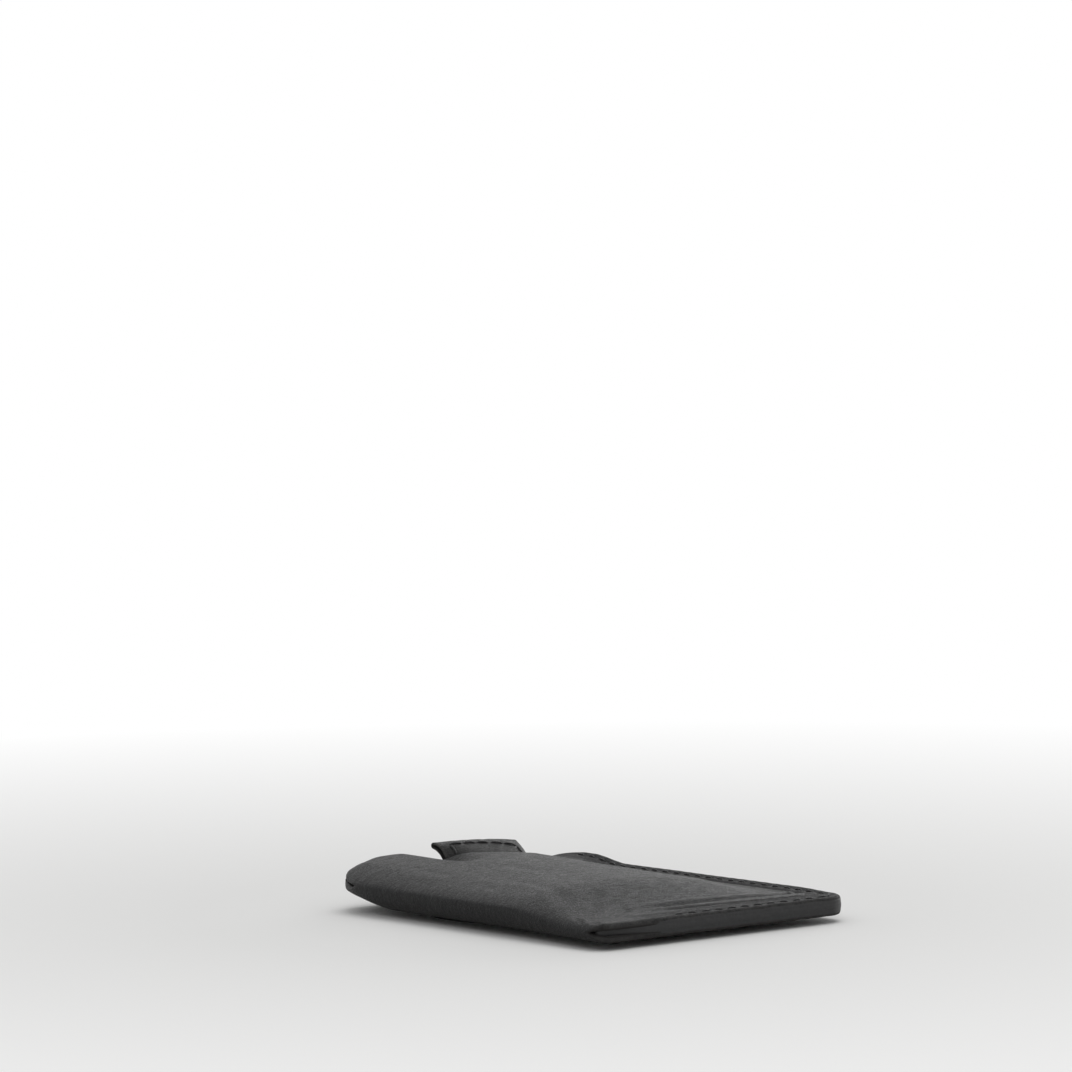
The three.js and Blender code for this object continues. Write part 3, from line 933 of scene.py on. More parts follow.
@dataclass(frozen=True)
class PullTab:
    """The leather tab: one strip folded at its free end."""

    form: Form
    leather: float = 0.65
    slot: float = 0.05
    upper_length: float = 24.0
    lower_length: float = 12.0
    lift: float = 3.4
    arch: float = 2.3
    arch_turn: float = 0.9
    twist: float = 0.045
    bow: float = 0.35
    spread: float = 0.26
    under_front: float = 0.3
    past_edge: float = 1.2
    edge_round: float = 0.22
    round_steps: int = 4
    spacing: float = 0.4
    stitch_inset: float = 2.3
    stitch_from_end: float = 3.6
    stitch_from_scoop: float = 4.0
    groove: float = 0.16
    groove_width: float = 0.6
    groove_past: float = 1.0
    groove_fade: float = 1.5
    hand_wave: Ripple = Ripple(0.03, 31, 4.0, 1.3)
    rim_width: float = 0.5

    @property
    def radius(self) -> float:
        """Outer radius of the folded end."""
        return self.leather + self.slot / 2

    @property
    def turn_y(self) -> float:
        """Where the upper leg ends and the folded end begins."""
        return self.form.tab_end_y - self.radius

    @property
    def rear_y(self) -> float:
        """The hidden rear of the upper leg."""
        return self.form.tab_end_y - self.upper_length

    @property
    def end_z(self) -> float:
        """Height of the upper face at the free end, before its bow and twist."""
        scoop = self.form.front_height(np.array(self.form.tab_x), np.array(self.form.scoop_y))
        return float(scoop) - self.form.leather - self.under_front + self.lift

    def top(self, x: np.ndarray, y: np.ndarray) -> np.ndarray:
        """Height of the tab's upper face: under the front, then arching up to the free end.

        Args:
            x: Places across the tab.
            y: Places along it.

        Returns:
            The heights.
        """
        form = self.form
        edge = form.front_mouth_edge(x)
        lift = edge + self.past_edge
        front = np.minimum(form.front_height(x, np.minimum(y, lift)), form.front_height(x, edge))
        side = (x - form.tab_x) / (form.tab_width / 2)
        left = 1 - np.clip((y - lift) / (form.tab_end_y - lift), 0, 1)
        past = 1 - left ** (self.arch - self.arch_turn * side)
        rise = self.end_z - self.twist * (x - form.tab_x) + self.bow * (1 - side**2)
        return lerp(front - form.leather - self.under_front, rise, past)

    def run(self, x: np.ndarray, along: np.ndarray, depth: np.ndarray) -> tuple[np.ndarray, np.ndarray]:
        """Places on the strip: the upper leg, a half circle, and the lower leg that parts from it.

        Args:
            x: Places across the tab.
            along: Distance from the rear of the upper leg along the strip.
            depth: Depth inside the outer face.

        Returns:
            y and z of each place.
        """
        leg = self.turn_y - self.rear_y
        arc = self.radius * math.pi
        upper_y = self.rear_y + np.minimum(along, leg)
        angle = np.clip((along - leg) / arc, 0, 1) * math.pi
        back = np.maximum(along - leg - arc, 0)
        reach = self.radius - depth
        turn_top = self.top(x, np.full_like(x, self.turn_y))
        bent_y = self.turn_y + reach * np.sin(angle)
        bent_z = turn_top - self.radius + reach * np.cos(angle)
        spread = self.spread * back * (0.5 + (self.form.tab_x - x) / self.form.tab_width)
        lower_y = self.turn_y - back
        lower_z = self.top(x, lower_y) - 2 * self.radius - spread + depth
        y = np.where(along <= leg, upper_y, np.where(back > 0, lower_y, bent_y))
        z = np.where(along <= leg, self.top(x, upper_y) - depth, np.where(back > 0, lower_z, bent_z))
        return y, z

    def groove_relief(self, along: np.ndarray, side: np.ndarray) -> np.ndarray:
        """The grooves that the stitches pull in, along both sides and across the free end.

        Args:
            along: Distance along the strip.
            side: Distance from the nearer long side.

        Returns:
            Depth into the leather.
        """
        seam_at = self.turn_y - self.rear_y + self.radius - self.stitch_from_end
        sides = self.groove * bell(side - self.stitch_inset, self.groove_width)
        within = ease((side - self.stitch_inset + self.groove_width) / self.groove_width)
        across = self.groove * bell(along - seam_at, self.groove_width) * within
        before = ease((seam_at + self.groove_past - along) / self.groove_fade)
        return np.maximum(sides * before, across)

    def build(self) -> bpy.types.Object:
        """Makes the tab.

        Returns:
            The tab, which stands for its CAD node.
        """
        width = self.form.tab_width
        length = self.turn_y - self.rear_y + self.radius * math.pi + self.lower_length
        along_line = length * edge_stations(length, self.edge_round, self.round_steps, self.spacing)
        across_line = width * edge_stations(width, self.edge_round, self.round_steps, self.spacing)
        along, across = np.meshgrid(along_line, across_line, indexing="ij")
        x = self.form.tab_x + width / 2 - across
        side = np.minimum(across, width - across)
        edge = np.minimum(side, np.minimum(along, length - along))
        relief = self.groove_relief(along, side) + self.hand_wave.relief(x, along)
        rounding = corner_inset(self.edge_round, edge)
        outer_y, outer_z = self.run(x, along, rounding + relief)
        inner_y, inner_z = self.run(x, along, self.leather - rounding)
        outer = np.stack([x, outer_y, outer_z], axis=-1)
        inner = np.stack([x, inner_y, inner_z], axis=-1)
        uv = np.stack([across, along], axis=-1)
        tab = closed_sheet("leather_pull_tab", outer, inner, uv, bell(edge, self.rim_width))
        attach(tab, TAB_BODY)
        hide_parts("pull_tab")
        return tab

    def dress(self, tab: bpy.types.Object) -> None:
        """Gives the tab its leather."""
        # The last colour lightens the rims: rubbing wear and a painted highlight along the cut edges.
        dress(tab, LeatherFinish("tab_leather", 0.55, 0.13, "131313", "232322", "4a4845"))


@dataclass(frozen=True)
class PullRibbon:
    """The woven tape that runs from the lining, round the cards, to the tab."""

    form: Form
    tab: PullTab
    thickness: float = 0.4
    turn_to_foot: float = 21.0
    anchor_to_mouth: float = 12.0
    over_lining: float = 0.2
    in_tab: float = 12.0
    columns: int = 25
    lower_steps: int = 60
    bend_steps: int = 14
    upper_steps: int = 80
    rim_width: float = 0.7

    @property
    def floor(self) -> float:
        """Height of the tape's lower leg."""
        return self.form.lining_z + self.form.lining + self.over_lining

    @property
    def turn_y(self) -> float:
        """Where the tape turns back round the cards."""
        return self.form.foot_y + self.turn_to_foot

    def roof(self, x: np.ndarray, y: np.ndarray) -> np.ndarray:
        """Height of the upper leg, under the tab."""
        return self.tab.top(x, y) - self.tab.leather - self.form.layer_gap

    def skin(self, line: np.ndarray, depth: float) -> np.ndarray:
        """The tape's points at a depth: a straight leg, a half circle and a leg that follows the tab.

        Args:
            line: Values of x across the tape.
            depth: Depth inside its outer face.

        Returns:
            Points, rows by columns by 3.
        """
        form, tab, floor, turn_y = self.form, self.tab, self.floor, self.turn_y
        anchor_y = form.scoop_y - self.anchor_to_mouth
        end_y = form.tab_end_y - tab.upper_length + self.in_tab
        lower_y, x = np.meshgrid(
            np.linspace(anchor_y, turn_y, self.lower_steps)[:-1], line, indexing="ij"
        )
        lower = np.stack([x, lower_y, np.full_like(x, floor + depth)], axis=-1)
        angle, x = np.meshgrid(np.linspace(0, math.pi, self.bend_steps)[:-1], line, indexing="ij")
        radius = (self.roof(x, np.full_like(x, turn_y)) - floor) / 2
        reach = radius - depth
        bend_y = turn_y - reach * np.sin(angle)
        bend = np.stack([x, bend_y, floor + radius - reach * np.cos(angle)], axis=-1)
        upper_y, x = np.meshgrid(np.linspace(turn_y, end_y, self.upper_steps), line, indexing="ij")
        upper = np.stack([x, upper_y, self.roof(x, upper_y) - depth], axis=-1)
        return np.concatenate([lower, bend, upper])

    def build(self) -> bpy.types.Object:
        """Makes the tape, with a half turn between its leg on the lining and its leg under the tab.

        Returns:
            The tape, which stands for its CAD node.
        """
        low, high = node_box("pull_ribbon")
        line = np.linspace(low[0], high[0], self.columns)[::-1]
        outer, inner = self.skin(line, 0.0), self.skin(line, self.thickness)
        run = run_along(outer[:, 0])
        uv = np.stack([outer[:, :, 0], np.broadcast_to(run[:, None], outer.shape[:2])], axis=-1)
        edge = np.minimum(outer[:, :, 0] - low[0], high[0] - outer[:, :, 0])
        ribbon = closed_sheet("pull_tape", outer, inner, uv, bell(edge, self.rim_width))
        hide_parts("pull_ribbon")
        bend_top = float(self.roof(np.array(self.form.tab_x), np.array(self.turn_y)))
        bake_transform(ribbon)
        return ribbon

    def dress(self, ribbon: bpy.types.Object) -> None:
        """Gives the tape its weave."""
        dress(ribbon, TapeFinish())


def resample(line: np.ndarray, count: int) -> np.ndarray:
    """Points spaced evenly along a line.

    Args:
        line: Points of the line.
        count: Number of points wanted.

    Returns:
        The evenly spaced points.
    """
    run = run_along(line)
    wanted = np.linspace(0, run[-1], count)
    return np.stack([np.interp(wanted, run, line[:, axis]) for axis in range(3)], axis=-1)


@dataclass(frozen=True)
class Thread:
    """One row of saddle stitches along a line, on the outer side of a sheet."""

    line: np.ndarray
    up: float
    pitch: float
    stitch: float
    radius: float
    seed: int
    sides: int = 8
    rings: int = 9
    samples: int = 40
    arch: float = 1.15
    sunk: float = 0.62
    slant: float = 0.22
    wander: float = 0.05
    flatness: float = 0.82

    def arrays(self) -> tuple[np.ndarray, np.ndarray, np.ndarray]:
        """Vertices, quads and twist values of all its stitches.

        Each stitch is a tube whose middle line arches out of the leather and slants a little, and
        whose radius falls off towards both ends.

        Returns:
            Points in millimetres, rows of four vertex numbers, and a UV pair for each point.
        """
        span = np.linalg.norm(np.diff(self.line, axis=0), axis=1).sum()
        stitches = max(1, int(span / self.pitch))
        fine = resample(self.line, stitches * self.samples + 1)
        middles = np.arange(stitches) * self.samples + self.samples // 2
        half = round(self.samples // 2 * self.stitch / self.pitch)
        share = np.linspace(-1, 1, self.rings)
        index = middles[:, None] + np.rint(share * half).astype(int)[None, :]
        centre = fine[np.clip(index, 0, len(fine) - 1)]
        random = np.random.default_rng(self.seed)
        along = np.gradient(centre, axis=1)
        along /= np.linalg.norm(along, axis=2, keepdims=True)
        up = np.zeros_like(along)
        up[..., 2] = self.up
        side = np.cross(along, up)
        side /= np.linalg.norm(side, axis=2, keepdims=True)
        lift = self.radius * (self.arch * np.sqrt(np.clip(1 - share**2 * 0.98, 0, 1)) - self.sunk)
        slant = self.slant * share * self.radius * 2
        wander = random.normal(0, self.wander, (stitches, 1))
        centre = centre + up * lift[None, :, None] + side * (slant[None, :] + wander)[..., None]
        thick = self.radius * np.clip(1.02 - np.abs(share) ** 5 * 0.5, 0.3, 1)
        turn = np.arange(self.sides) * 2 * math.pi / self.sides
        ring = (
            side[:, :, None, :] * np.cos(turn)[None, None, :, None]
            + up[:, :, None, :] * self.flatness * np.sin(turn)[None, None, :, None]
        )
        points = centre[:, :, None, :] + ring * thick[None, :, None, None]
        number = np.arange(points.shape[0] * self.rings * self.sides).reshape(-1, self.rings, self.sides)
        next_side = np.roll(number, -1, axis=2)
        corners = (number[:, :-1], number[:, 1:], next_side[:, 1:], next_side[:, :-1])
        faces = np.stack([corner.ravel() for corner in corners], axis=1)
        u = np.broadcast_to(share[None, :, None] * self.stitch / 2, points.shape[:3])
        v = np.broadcast_to(turn[None, None, :] * self.radius, points.shape[:3])
        uv = np.stack([u.ravel(), v.ravel()], axis=-1)
        return points.reshape(-1, 3), faces, uv


def build_threads(name: str, threads: list[Thread], body: str) -> bpy.types.Object:
    """All stitches of one part as one piece.

    Args:
        name: Object name.
        threads: The rows of stitches.
        body: The body that they ride on.

    Returns:
        The piece.
    """
    points, faces, uvs = [], [], []
    first = 0
    for thread in threads:
        vertices, quads, uv = thread.arrays()
        points.append(vertices)
        faces.append(quads + first)
        uvs.append(uv)
        first += len(vertices)
    piece = finish_mesh(name, np.concatenate(points), np.concatenate(faces), np.concatenate(uvs))
    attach(piece, body)
    return piece


@dataclass(frozen=True)
class SeamStitches:
    """The stitches of the main seam, on both faces."""

    form: Form
    seam: SeamLook
    foot_steps: int = 60
    turn_steps: int = 16
    side_steps: int = 90
    from_mouth: float = 4.0
    sunk_share: float = 0.45

    def path(self, panel: Panel) -> np.ndarray:
        """The line of the seam: along the foot, round the corner and up the seam side.

        Args:
            panel: The panel whose skin it runs on.

        Returns:
            Points on the skin.
        """
        form, seam = self.form, self.seam
        corner = form.foot_seam_corner
        reach = corner - seam.inset
        turn_x, turn_y = form.seam_x - corner, form.foot_y + corner
        angle = np.linspace(-math.pi / 2, 0, self.turn_steps)[1:-1]
        foot = np.linspace(form.fold_x + seam.start, turn_x, self.foot_steps)
        side = np.linspace(turn_y, form.mouth_y - self.from_mouth, self.side_steps)
        side_x = np.full_like(side, form.seam_x - seam.inset)
        foot_y = np.full_like(foot, form.foot_y + seam.inset)
        x = np.concatenate([foot, turn_x + reach * np.cos(angle), side_x])
        y = np.concatenate([foot_y, turn_y + reach * np.sin(angle), side])
        sink = seam.groove * self.sunk_share + seam.pucker / 2
        return np.stack([x, y, form.height(panel, x, y) - panel.value * sink], axis=-1)

    def build(self) -> bpy.types.Object:
        """Makes the stitches.

        Returns:
            The piece.
        """
        seam = self.seam
        rows = [
            Thread(self.path(panel), panel.value, seam.pitch, seam.stitch, seam.thread / 2, seed)
            for panel, seed in ((Panel.FRONT, 3), (Panel.BACK, 4))
        ]
        return build_threads("seam_stitches", rows, ROOT_BODY)

    def dress(self, stitches: bpy.types.Object) -> None:
        """Gives the stitches their thread."""
        dress(stitches, ThreadFinish())


@dataclass(frozen=True)
class EdgePaint:
    """The painted coat that closes the layers along the sewn edges."""

    form: Form
    seam: SeamLook
    from_fold: float = 0.3
    foot_steps: int = 120
    side_steps: int = 150
    turn_steps: int = 14
    mouth_turn_steps: int = 7
    levels: int = 15
    pinch_start: float = 1.0
    pinch_length: float = 20.0
    fade_length: float = 3.0
    clear_of_round: float = 0.62
    belly: float = 0.2
    belly_power: float = 0.6
    sunk: float = 0.08
    layer_lines: tuple[float, float] = (0.24, 0.7)
    layer_line_width: float = 0.045
    layer_line_depth: float = 0.05
    brush_wave: Ripple = Ripple(0.03, 41, 6.0, 1.0)
    brush_wave_across: float = 4.0
    faded_back: float = 0.2
    pinch_back: float = 1.5
    pinch_power: float = 1.5
    depth: float = 0.5

    def line(self) -> np.ndarray:
        """The cut edge in plan: along the foot, up the seam side and into the mouth's corner.

        Returns:
            Points with their height at 0.
        """
        form = self.form
        corner, top_corner = form.foot_seam_corner, form.mouth_seam_corner
        turn_x, turn_y = form.seam_x - corner, form.foot_y + corner
        top_x, top_y = form.seam_x - top_corner, form.mouth_y - top_corner
        quarter = np.linspace(0, math.pi / 2, self.turn_steps)
        inner, part = quarter[1:-1], quarter[1 : self.mouth_turn_steps]
        foot = np.linspace(form.fold_x + self.from_fold, turn_x, self.foot_steps)
        side = np.linspace(turn_y, top_y, self.side_steps)
        side_x = np.full_like(side, form.seam_x)
        turned_x, turned_y = turn_x + corner * np.sin(inner), turn_y - corner * np.cos(inner)
        end_x, end_y = top_x + top_corner * np.cos(part), top_y + top_corner * np.sin(part)
        x = np.concatenate([foot, turned_x, side_x, end_x])
        y = np.concatenate([form.foot_edge(foot), turned_y, side, end_y])
        return np.stack([x, y, 0 * x], axis=-1)

    def proud(self, run: np.ndarray, z: np.ndarray) -> np.ndarray:
        """How far the coat stands out of the cut edge: a belly with a hollow at each layer line.

        Args:
            run: Distance along the edge.
            z: Heights, one row for each place along the edge.

        Returns:
            The distance, negative where it lies behind the edge.
        """
        levels = np.linspace(0, 1, self.levels)
        hollow = sum(bell(levels - place, self.layer_line_width) for place in self.layer_lines)
        rise = np.sin(levels * math.pi) ** self.belly_power
        belly = self.belly * rise - self.layer_line_depth * hollow - self.sunk
        brushed = self.brush_wave.relief(run[:, None] + 0 * z, z * self.brush_wave_across) * rise
        fade = ease((run[-1] - run) / self.fade_length)[:, None]
        return (belly[None, :] + brushed) * fade - self.faded_back * (1 - fade)

    def build(self) -> bpy.types.Object:
        """Makes the coat, which draws back into the pinched foot corner at the fold.

        Returns:
            The coat.
        """
        form, seam = self.form, self.seam
        line = self.line()
        x, y = line[:, 0], line[:, 1]
        along = np.gradient(line, axis=0)
        along /= np.linalg.norm(along, axis=1, keepdims=True)
        out_x, out_y = along[:, 1:2], -along[:, :1]
        run = run_along(line)
        clear = seam.edge_round * self.clear_of_round
        bottom = form.back_height(x, y) + clear
        top = form.rim_z - form.back_z + form.back_height(x, y) - clear
        z = bottom[:, None] + (top - bottom)[:, None] * np.linspace(0, 1, self.levels)[None, :]
        closed = ease((run - self.pinch_start) / self.pinch_length)
        pinch = self.pinch_back * (1 - closed)[:, None] ** self.pinch_power
        proud = self.proud(run, z) - pinch
        depth = self.depth + pinch + 0 * z
        outer = np.stack([x[:, None] + out_x * proud, y[:, None] + out_y * proud, z], axis=-1)
        inner = np.stack([x[:, None] - out_x * depth, y[:, None] - out_y * depth, z], axis=-1)
        uv = np.stack([run[:, None] + 0 * z, z], axis=-1)
        coat = closed_sheet("edge_paint", outer, inner, uv, np.ones_like(z))
        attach(coat, ROOT_BODY)
        return coat

    def dress(self, coat: bpy.types.Object) -> None:
        """Gives the coat its paint."""
        dress(coat, EdgePaintFinish())


@dataclass(frozen=True)
class TabStitches:
    """The stitches of the tab: along both sides and across the free end."""

    tab: PullTab
    pitch: float = 3.4
    stitch: float = 2.7
    thread_radius: float = 0.27
    first_seed: int = 7
    side_steps: int = 60
    end_steps: int = 80

    def lines(self) -> list[np.ndarray]:
        """The paths of the stitching.

        Returns:
            Lines of points on the upper face, in millimetres.
        """
        tab, form = self.tab, self.tab.form
        end = form.tab_end_y - tab.stitch_from_end
        half = form.tab_width / 2 - tab.stitch_inset
        start = form.scoop_y - tab.stitch_from_scoop
        lines = []
        for sign in (-1.0, 1.0):
            y = np.linspace(start, end, self.side_steps)
            x = np.full_like(y, form.tab_x + sign * half)
            lines.append(np.stack([x, y, tab.top(x, y)], axis=-1))
        x = np.linspace(form.tab_x - half, form.tab_x + half, self.end_steps)
        y = np.full_like(x, end)
        lines.append(np.stack([x, y, tab.top(x, y)], axis=-1))
        return lines

    def build(self) -> bpy.types.Object:
        """Makes the stitches.

        Returns:
            The piece.
        """
        rows = [
            Thread(line, 1.0, self.pitch, self.stitch, self.thread_radius, self.first_seed + index)
            for index, line in enumerate(self.lines())
        ]
        return build_threads("tab_stitches", rows, TAB_BODY)

    def dress(self, stitches: bpy.types.Object) -> None:
        """Gives the stitches their thread."""
        dress(stitches, ThreadFinish())


def linear(code: str) -> tuple[float, float, float, float]:
    """A colour written in sRGB as the shader needs it.

    Args:
        code: Six hex digits.

    Returns:
        Linear red, green, blue and alpha.
    """
    values = [int(code[index : index + 2], 16) / 255 for index in (0, 2, 4)]
    made = [v / 12.92 if v <= 0.04045 else ((v + 0.055) / 1.055) ** 2.4 for v in values]
    return (*made, 1.0)


class CellFeature(Enum):
    """Which distance a cell pattern gives."""

    EDGE = "DISTANCE_TO_EDGE"
    CENTRE = "F1"


class FinishTree:
    """A material with its node tree, and one small function that adds a node."""

    def __init__(self, name: str, **settings: float | tuple) -> None:
        """Starts a material whose shader has the given settings.

        Args:
            name: Material name.
            **settings: Shader sockets by name, with underscores for spaces.
        """
        self.material = bpy.data.materials.new(name)
        self.material.use_nodes = True
        self.tree = self.material.node_tree
        self.shader = self.tree.nodes["Principled BSDF"]
        self.place = self.add("TexCoord").outputs
        for key, value in settings.items():
            self.shader.inputs[key.replace("_", " ")].default_value = value

    def add(self, kind: str, inputs: dict | None = None, **options: str) -> bpy.types.Node:
        """Adds a node and fills its inputs with values or links.

        Args:
            kind: Node type without its ShaderNode prefix.
            inputs: Input names or numbers with a value or an output socket.
            **options: Properties of the node.

        Returns:
            The node.
        """
        node = self.tree.nodes.new(f"ShaderNode{kind}")
        for key, value in options.items():
            setattr(node, key, value)
        for key, value in (inputs or {}).items():
            socket = node.inputs[key]
            if isinstance(value, bpy.types.NodeSocket):
                self.tree.links.new(value, socket)
            else:
                socket.default_value = value
        return node

    def noise(
        self,
        size: float,
        vector: bpy.types.NodeSocket | None = None,
        detail: float = 3.0,
        distortion: float = 0.0,
    ) -> bpy.types.NodeSocket:
        """A noise whose features are of a real size.

        Args:
            size: Feature size in millimetres.
            vector: Coordinates in metres, the object's own if left out.
            detail: Number of finer layers.
            distortion: How much it is bent.

        Returns:
            The noise's value.
        """
        inputs = {
            "Vector": vector or self.place["Object"],
            "Scale": 1 / (size * MM),
            "Detail": detail,
            "Distortion": distortion,
        }
        return self.add("TexNoise", inputs).outputs["Fac"]

    def cells(self, size: float, feature: CellFeature = CellFeature.EDGE) -> bpy.types.NodeSocket:
        """A cell pattern of a real size.

        Args:
            size: Cell size in millimetres.
            feature: Which distance is read.

        Returns:
            The distance.
        """
        inputs = {"Vector": self.place["Object"], "Scale": 1 / (size * MM)}
        return self.add("TexVoronoi", inputs, feature=feature.value).outputs["Distance"]

    def ramp(
        self, value: bpy.types.NodeSocket, low: float, high: float, to_low: float, to_high: float
    ) -> bpy.types.NodeSocket:
        """Carries one range of values over to another.

        Args:
            value: Output socket to read.
            low: Value that becomes to_low.
            high: Value that becomes to_high.
            to_low: First result.
            to_high: Last result.

        Returns:
            The result.
        """
        inputs = {"Value": value, "From Min": low, "From Max": high, "To Min": to_low, "To Max": to_high}
        return self.add("MapRange", inputs).outputs["Result"]

    def math(
        self, operation: str, first: bpy.types.NodeSocket, second: bpy.types.NodeSocket | float
    ) -> bpy.types.NodeSocket:
        """One calculation.

        Args:
            operation: Name of the calculation.
            first: First socket.
            second: Second socket or value.

        Returns:
            The result.
        """
        return self.add("Math", {0: first, 1: second}, operation=operation).outputs[0]

    def mix(
        self,
        share: bpy.types.NodeSocket,
        first: bpy.types.NodeSocket | tuple[float, ...],
        second: bpy.types.NodeSocket | tuple[float, ...],
    ) -> bpy.types.NodeSocket:
        """A colour between two.

        Args:
            share: Socket with values from 0 to 1.
            first: Colour at 0.
            second: Colour at 1.

        Returns:
            The colour.
        """
        node = self.add("Mix", {"Factor": share}, data_type="RGBA")
        for socket, value in ((node.inputs[6], first), (node.inputs[7], second)):
            if isinstance(value, bpy.types.NodeSocket):
                self.tree.links.new(value, socket)
            else:
                socket.default_value = value
        return node.outputs[2]

    def attribute(self, name: str) -> bpy.types.NodeSocket:
        """A value kept on the mesh.

        Args:
            name: Name of the attribute.

        Returns:
            The value.
        """
        return self.add("Attribute", attribute_name=name).outputs["Fac"]

    def bumps(self, *layers: tuple[bpy.types.NodeSocket, float]) -> None:
        """Adds bump layers to the shader, each upon the last.

        Args:
            *layers: Pairs of a height socket and a depth in millimetres.
        """
        normal = None
        for height, depth in layers:
            inputs = {"Height": height, "Distance": depth * MM, "Strength": 1.0}
            if normal is not None:
                inputs["Normal"] = normal
            normal = self.add("Bump", inputs).outputs["Normal"]
        self.tree.links.new(normal, self.shader.inputs["Normal"])

    def feed(self, socket: str, value: bpy.types.NodeSocket) -> None:
        """Links a value to the shader.

        Args:
            socket: The shader's input.
            value: Output socket.
        """
        self.tree.links.new(value, self.shader.inputs[socket])


def stretched(finish: FinishTree, across: float, along: float, turn: float) -> bpy.types.NodeSocket:
    """Object coordinates drawn out along the panel, for streaks that follow its length.

    Args:
        finish: The material's tree.
        across: Scale across the panel.
        along: Scale along the panel.
        turn: Angle of the streaks in radians.

    Returns:
        The coordinates.
    """
    inputs = {"Vector": finish.place["Object"], "Scale": (across, along, across), "Rotation": (0, 0, turn)}
    return finish.add("Mapping", inputs).outputs["Vector"]


class SurfaceFinish(Protocol):
    """What every finish has: a name and a way to make its material."""

    name: str

    def make(self) -> bpy.types.Material:
        """Makes the material."""


@dataclass(frozen=True)
class LeatherFinish:
    """Black smooth leather, waxed and handled.

    It is dark with a soft sheen: a fine cell grain, streaks along the panel, and lighter rims, partly
    rubbing wear and partly a painted highlight where the cut edges catch the light.
    """

    name: str
    grain: float
    pebble: float
    shade: str
    worn: str
    # cut: colour of the lighter rims, rubbing wear together with a painted highlight on the cut edges.
    cut: str
    flesh_dark: str = "1d1c1c"
    flesh_light: str = "2b2928"
    streak_depth: float = 0.07
    margin_dulling: float = 0.16
    flesh_roughness: float = 0.9

    def make(self) -> bpy.types.Material:
        """Makes the material.

        Returns:
            The material, with its node tree.
        """
        finish = FinishTree(self.name, Specular_IOR_Level=0.24)
        warp = finish.noise(self.grain * 2.5, detail=2.0)
        grain_cells = finish.cells(self.grain)
        fine_cells = finish.cells(self.grain * 0.45)
        streaks = finish.noise(0.9, stretched(finish, 0.28, 1.0, 0.2), detail=5.0, distortion=0.5)
        specks = finish.noise(0.42, detail=2.0)
        broad = finish.noise(14.0, detail=3.0)
        pores = finish.cells(self.grain * 1.6, feature=CellFeature.CENTRE)
        rim = finish.attribute("rim")
        inside = finish.attribute("inside")
        margin = finish.attribute("margin")

        grain_height = finish.ramp(grain_cells, 0.0, 0.32, 0.0, 1.0)
        fine_height = finish.ramp(fine_cells, 0.0, 0.3, 0.0, 1.0)
        soft_grain = finish.math("MULTIPLY", grain_height, finish.ramp(warp, 0.3, 0.7, 0.55, 1.0))
        streak_height = finish.ramp(streaks, 0.35, 0.65, 0.0, 1.0)
        pore_height = finish.ramp(pores, 0.0, 0.18, 0.0, 1.0)
        finish.bumps(
            (streak_height, self.streak_depth),
            (soft_grain, self.pebble),
            (fine_height, self.pebble * 0.35),
            (pore_height, self.pebble * 0.5),
        )

        # Rims lightened towards the cut colour: rubbing wear and a painted highlight where the cut edges
        # catch the light.
        rub_and_shine = finish.math("MULTIPLY", rim, finish.ramp(finish.noise(1.6), 0.35, 0.62, 0.1, 0.9))
        patches = finish.ramp(broad, 0.3, 0.7, 0.0, 0.35)
        base = finish.mix(patches, linear(self.shade), linear(self.worn))
        rubbed_and_highlit = finish.mix(rub_and_shine, base, linear(self.cut))
        flesh = finish.mix(finish.noise(0.3), linear(self.flesh_dark), linear(self.flesh_light))
        finish.feed("Base Color", finish.mix(inside, rubbed_and_highlit, flesh))
        rough = finish.ramp(streaks, 0.3, 0.7, 0.38, 0.5)
        rough = finish.math("ADD", rough, finish.ramp(specks, 0.35, 0.65, -0.09, 0.09))
        rough = finish.math("ADD", rough, finish.math("MULTIPLY", margin, self.margin_dulling))
        valley = finish.math("ADD", rough, finish.ramp(grain_cells, 0.0, 0.2, 0.12, 0.0))
        flesh_rough = finish.math("MULTIPLY", inside, self.flesh_roughness)
        finish.feed("Roughness", finish.math("MAXIMUM", valley, flesh_rough))
        return finish.material


@dataclass(frozen=True)
class EdgePaintFinish:
    """Brushed-on black acrylic edge paint, satin, with the marks of the brush along the edge."""

    name: str = "edge_paint_finish"
    dark: str = "101011"
    light: str = "1a1a1b"
    stroke: float = 0.5
    lump: float = 0.8

    def make(self) -> bpy.types.Material:
        """Makes the material.

        Returns:
            The material, with its node tree.
        """
        finish = FinishTree(self.name, Specular_IOR_Level=0.4, Coat_Weight=0.1, Coat_Roughness=0.4)
        scale = (0.25 * MM, 1.6 * MM, MM)
        brushed = finish.add("Mapping", {"Vector": finish.place["UV"], "Scale": scale}).outputs["Vector"]
        strokes = finish.noise(self.stroke, brushed, detail=4.0)
        lumps = finish.noise(self.lump, detail=3.0)
        finish.bumps((strokes, 0.04), (lumps, 0.05))
        share = finish.ramp(lumps, 0.3, 0.7, 0.0, 1.0)
        finish.feed("Base Color", finish.mix(share, linear(self.dark), linear(self.light)))
        finish.feed("Roughness", finish.ramp(strokes, 0.3, 0.7, 0.42, 0.6))
        return finish.material


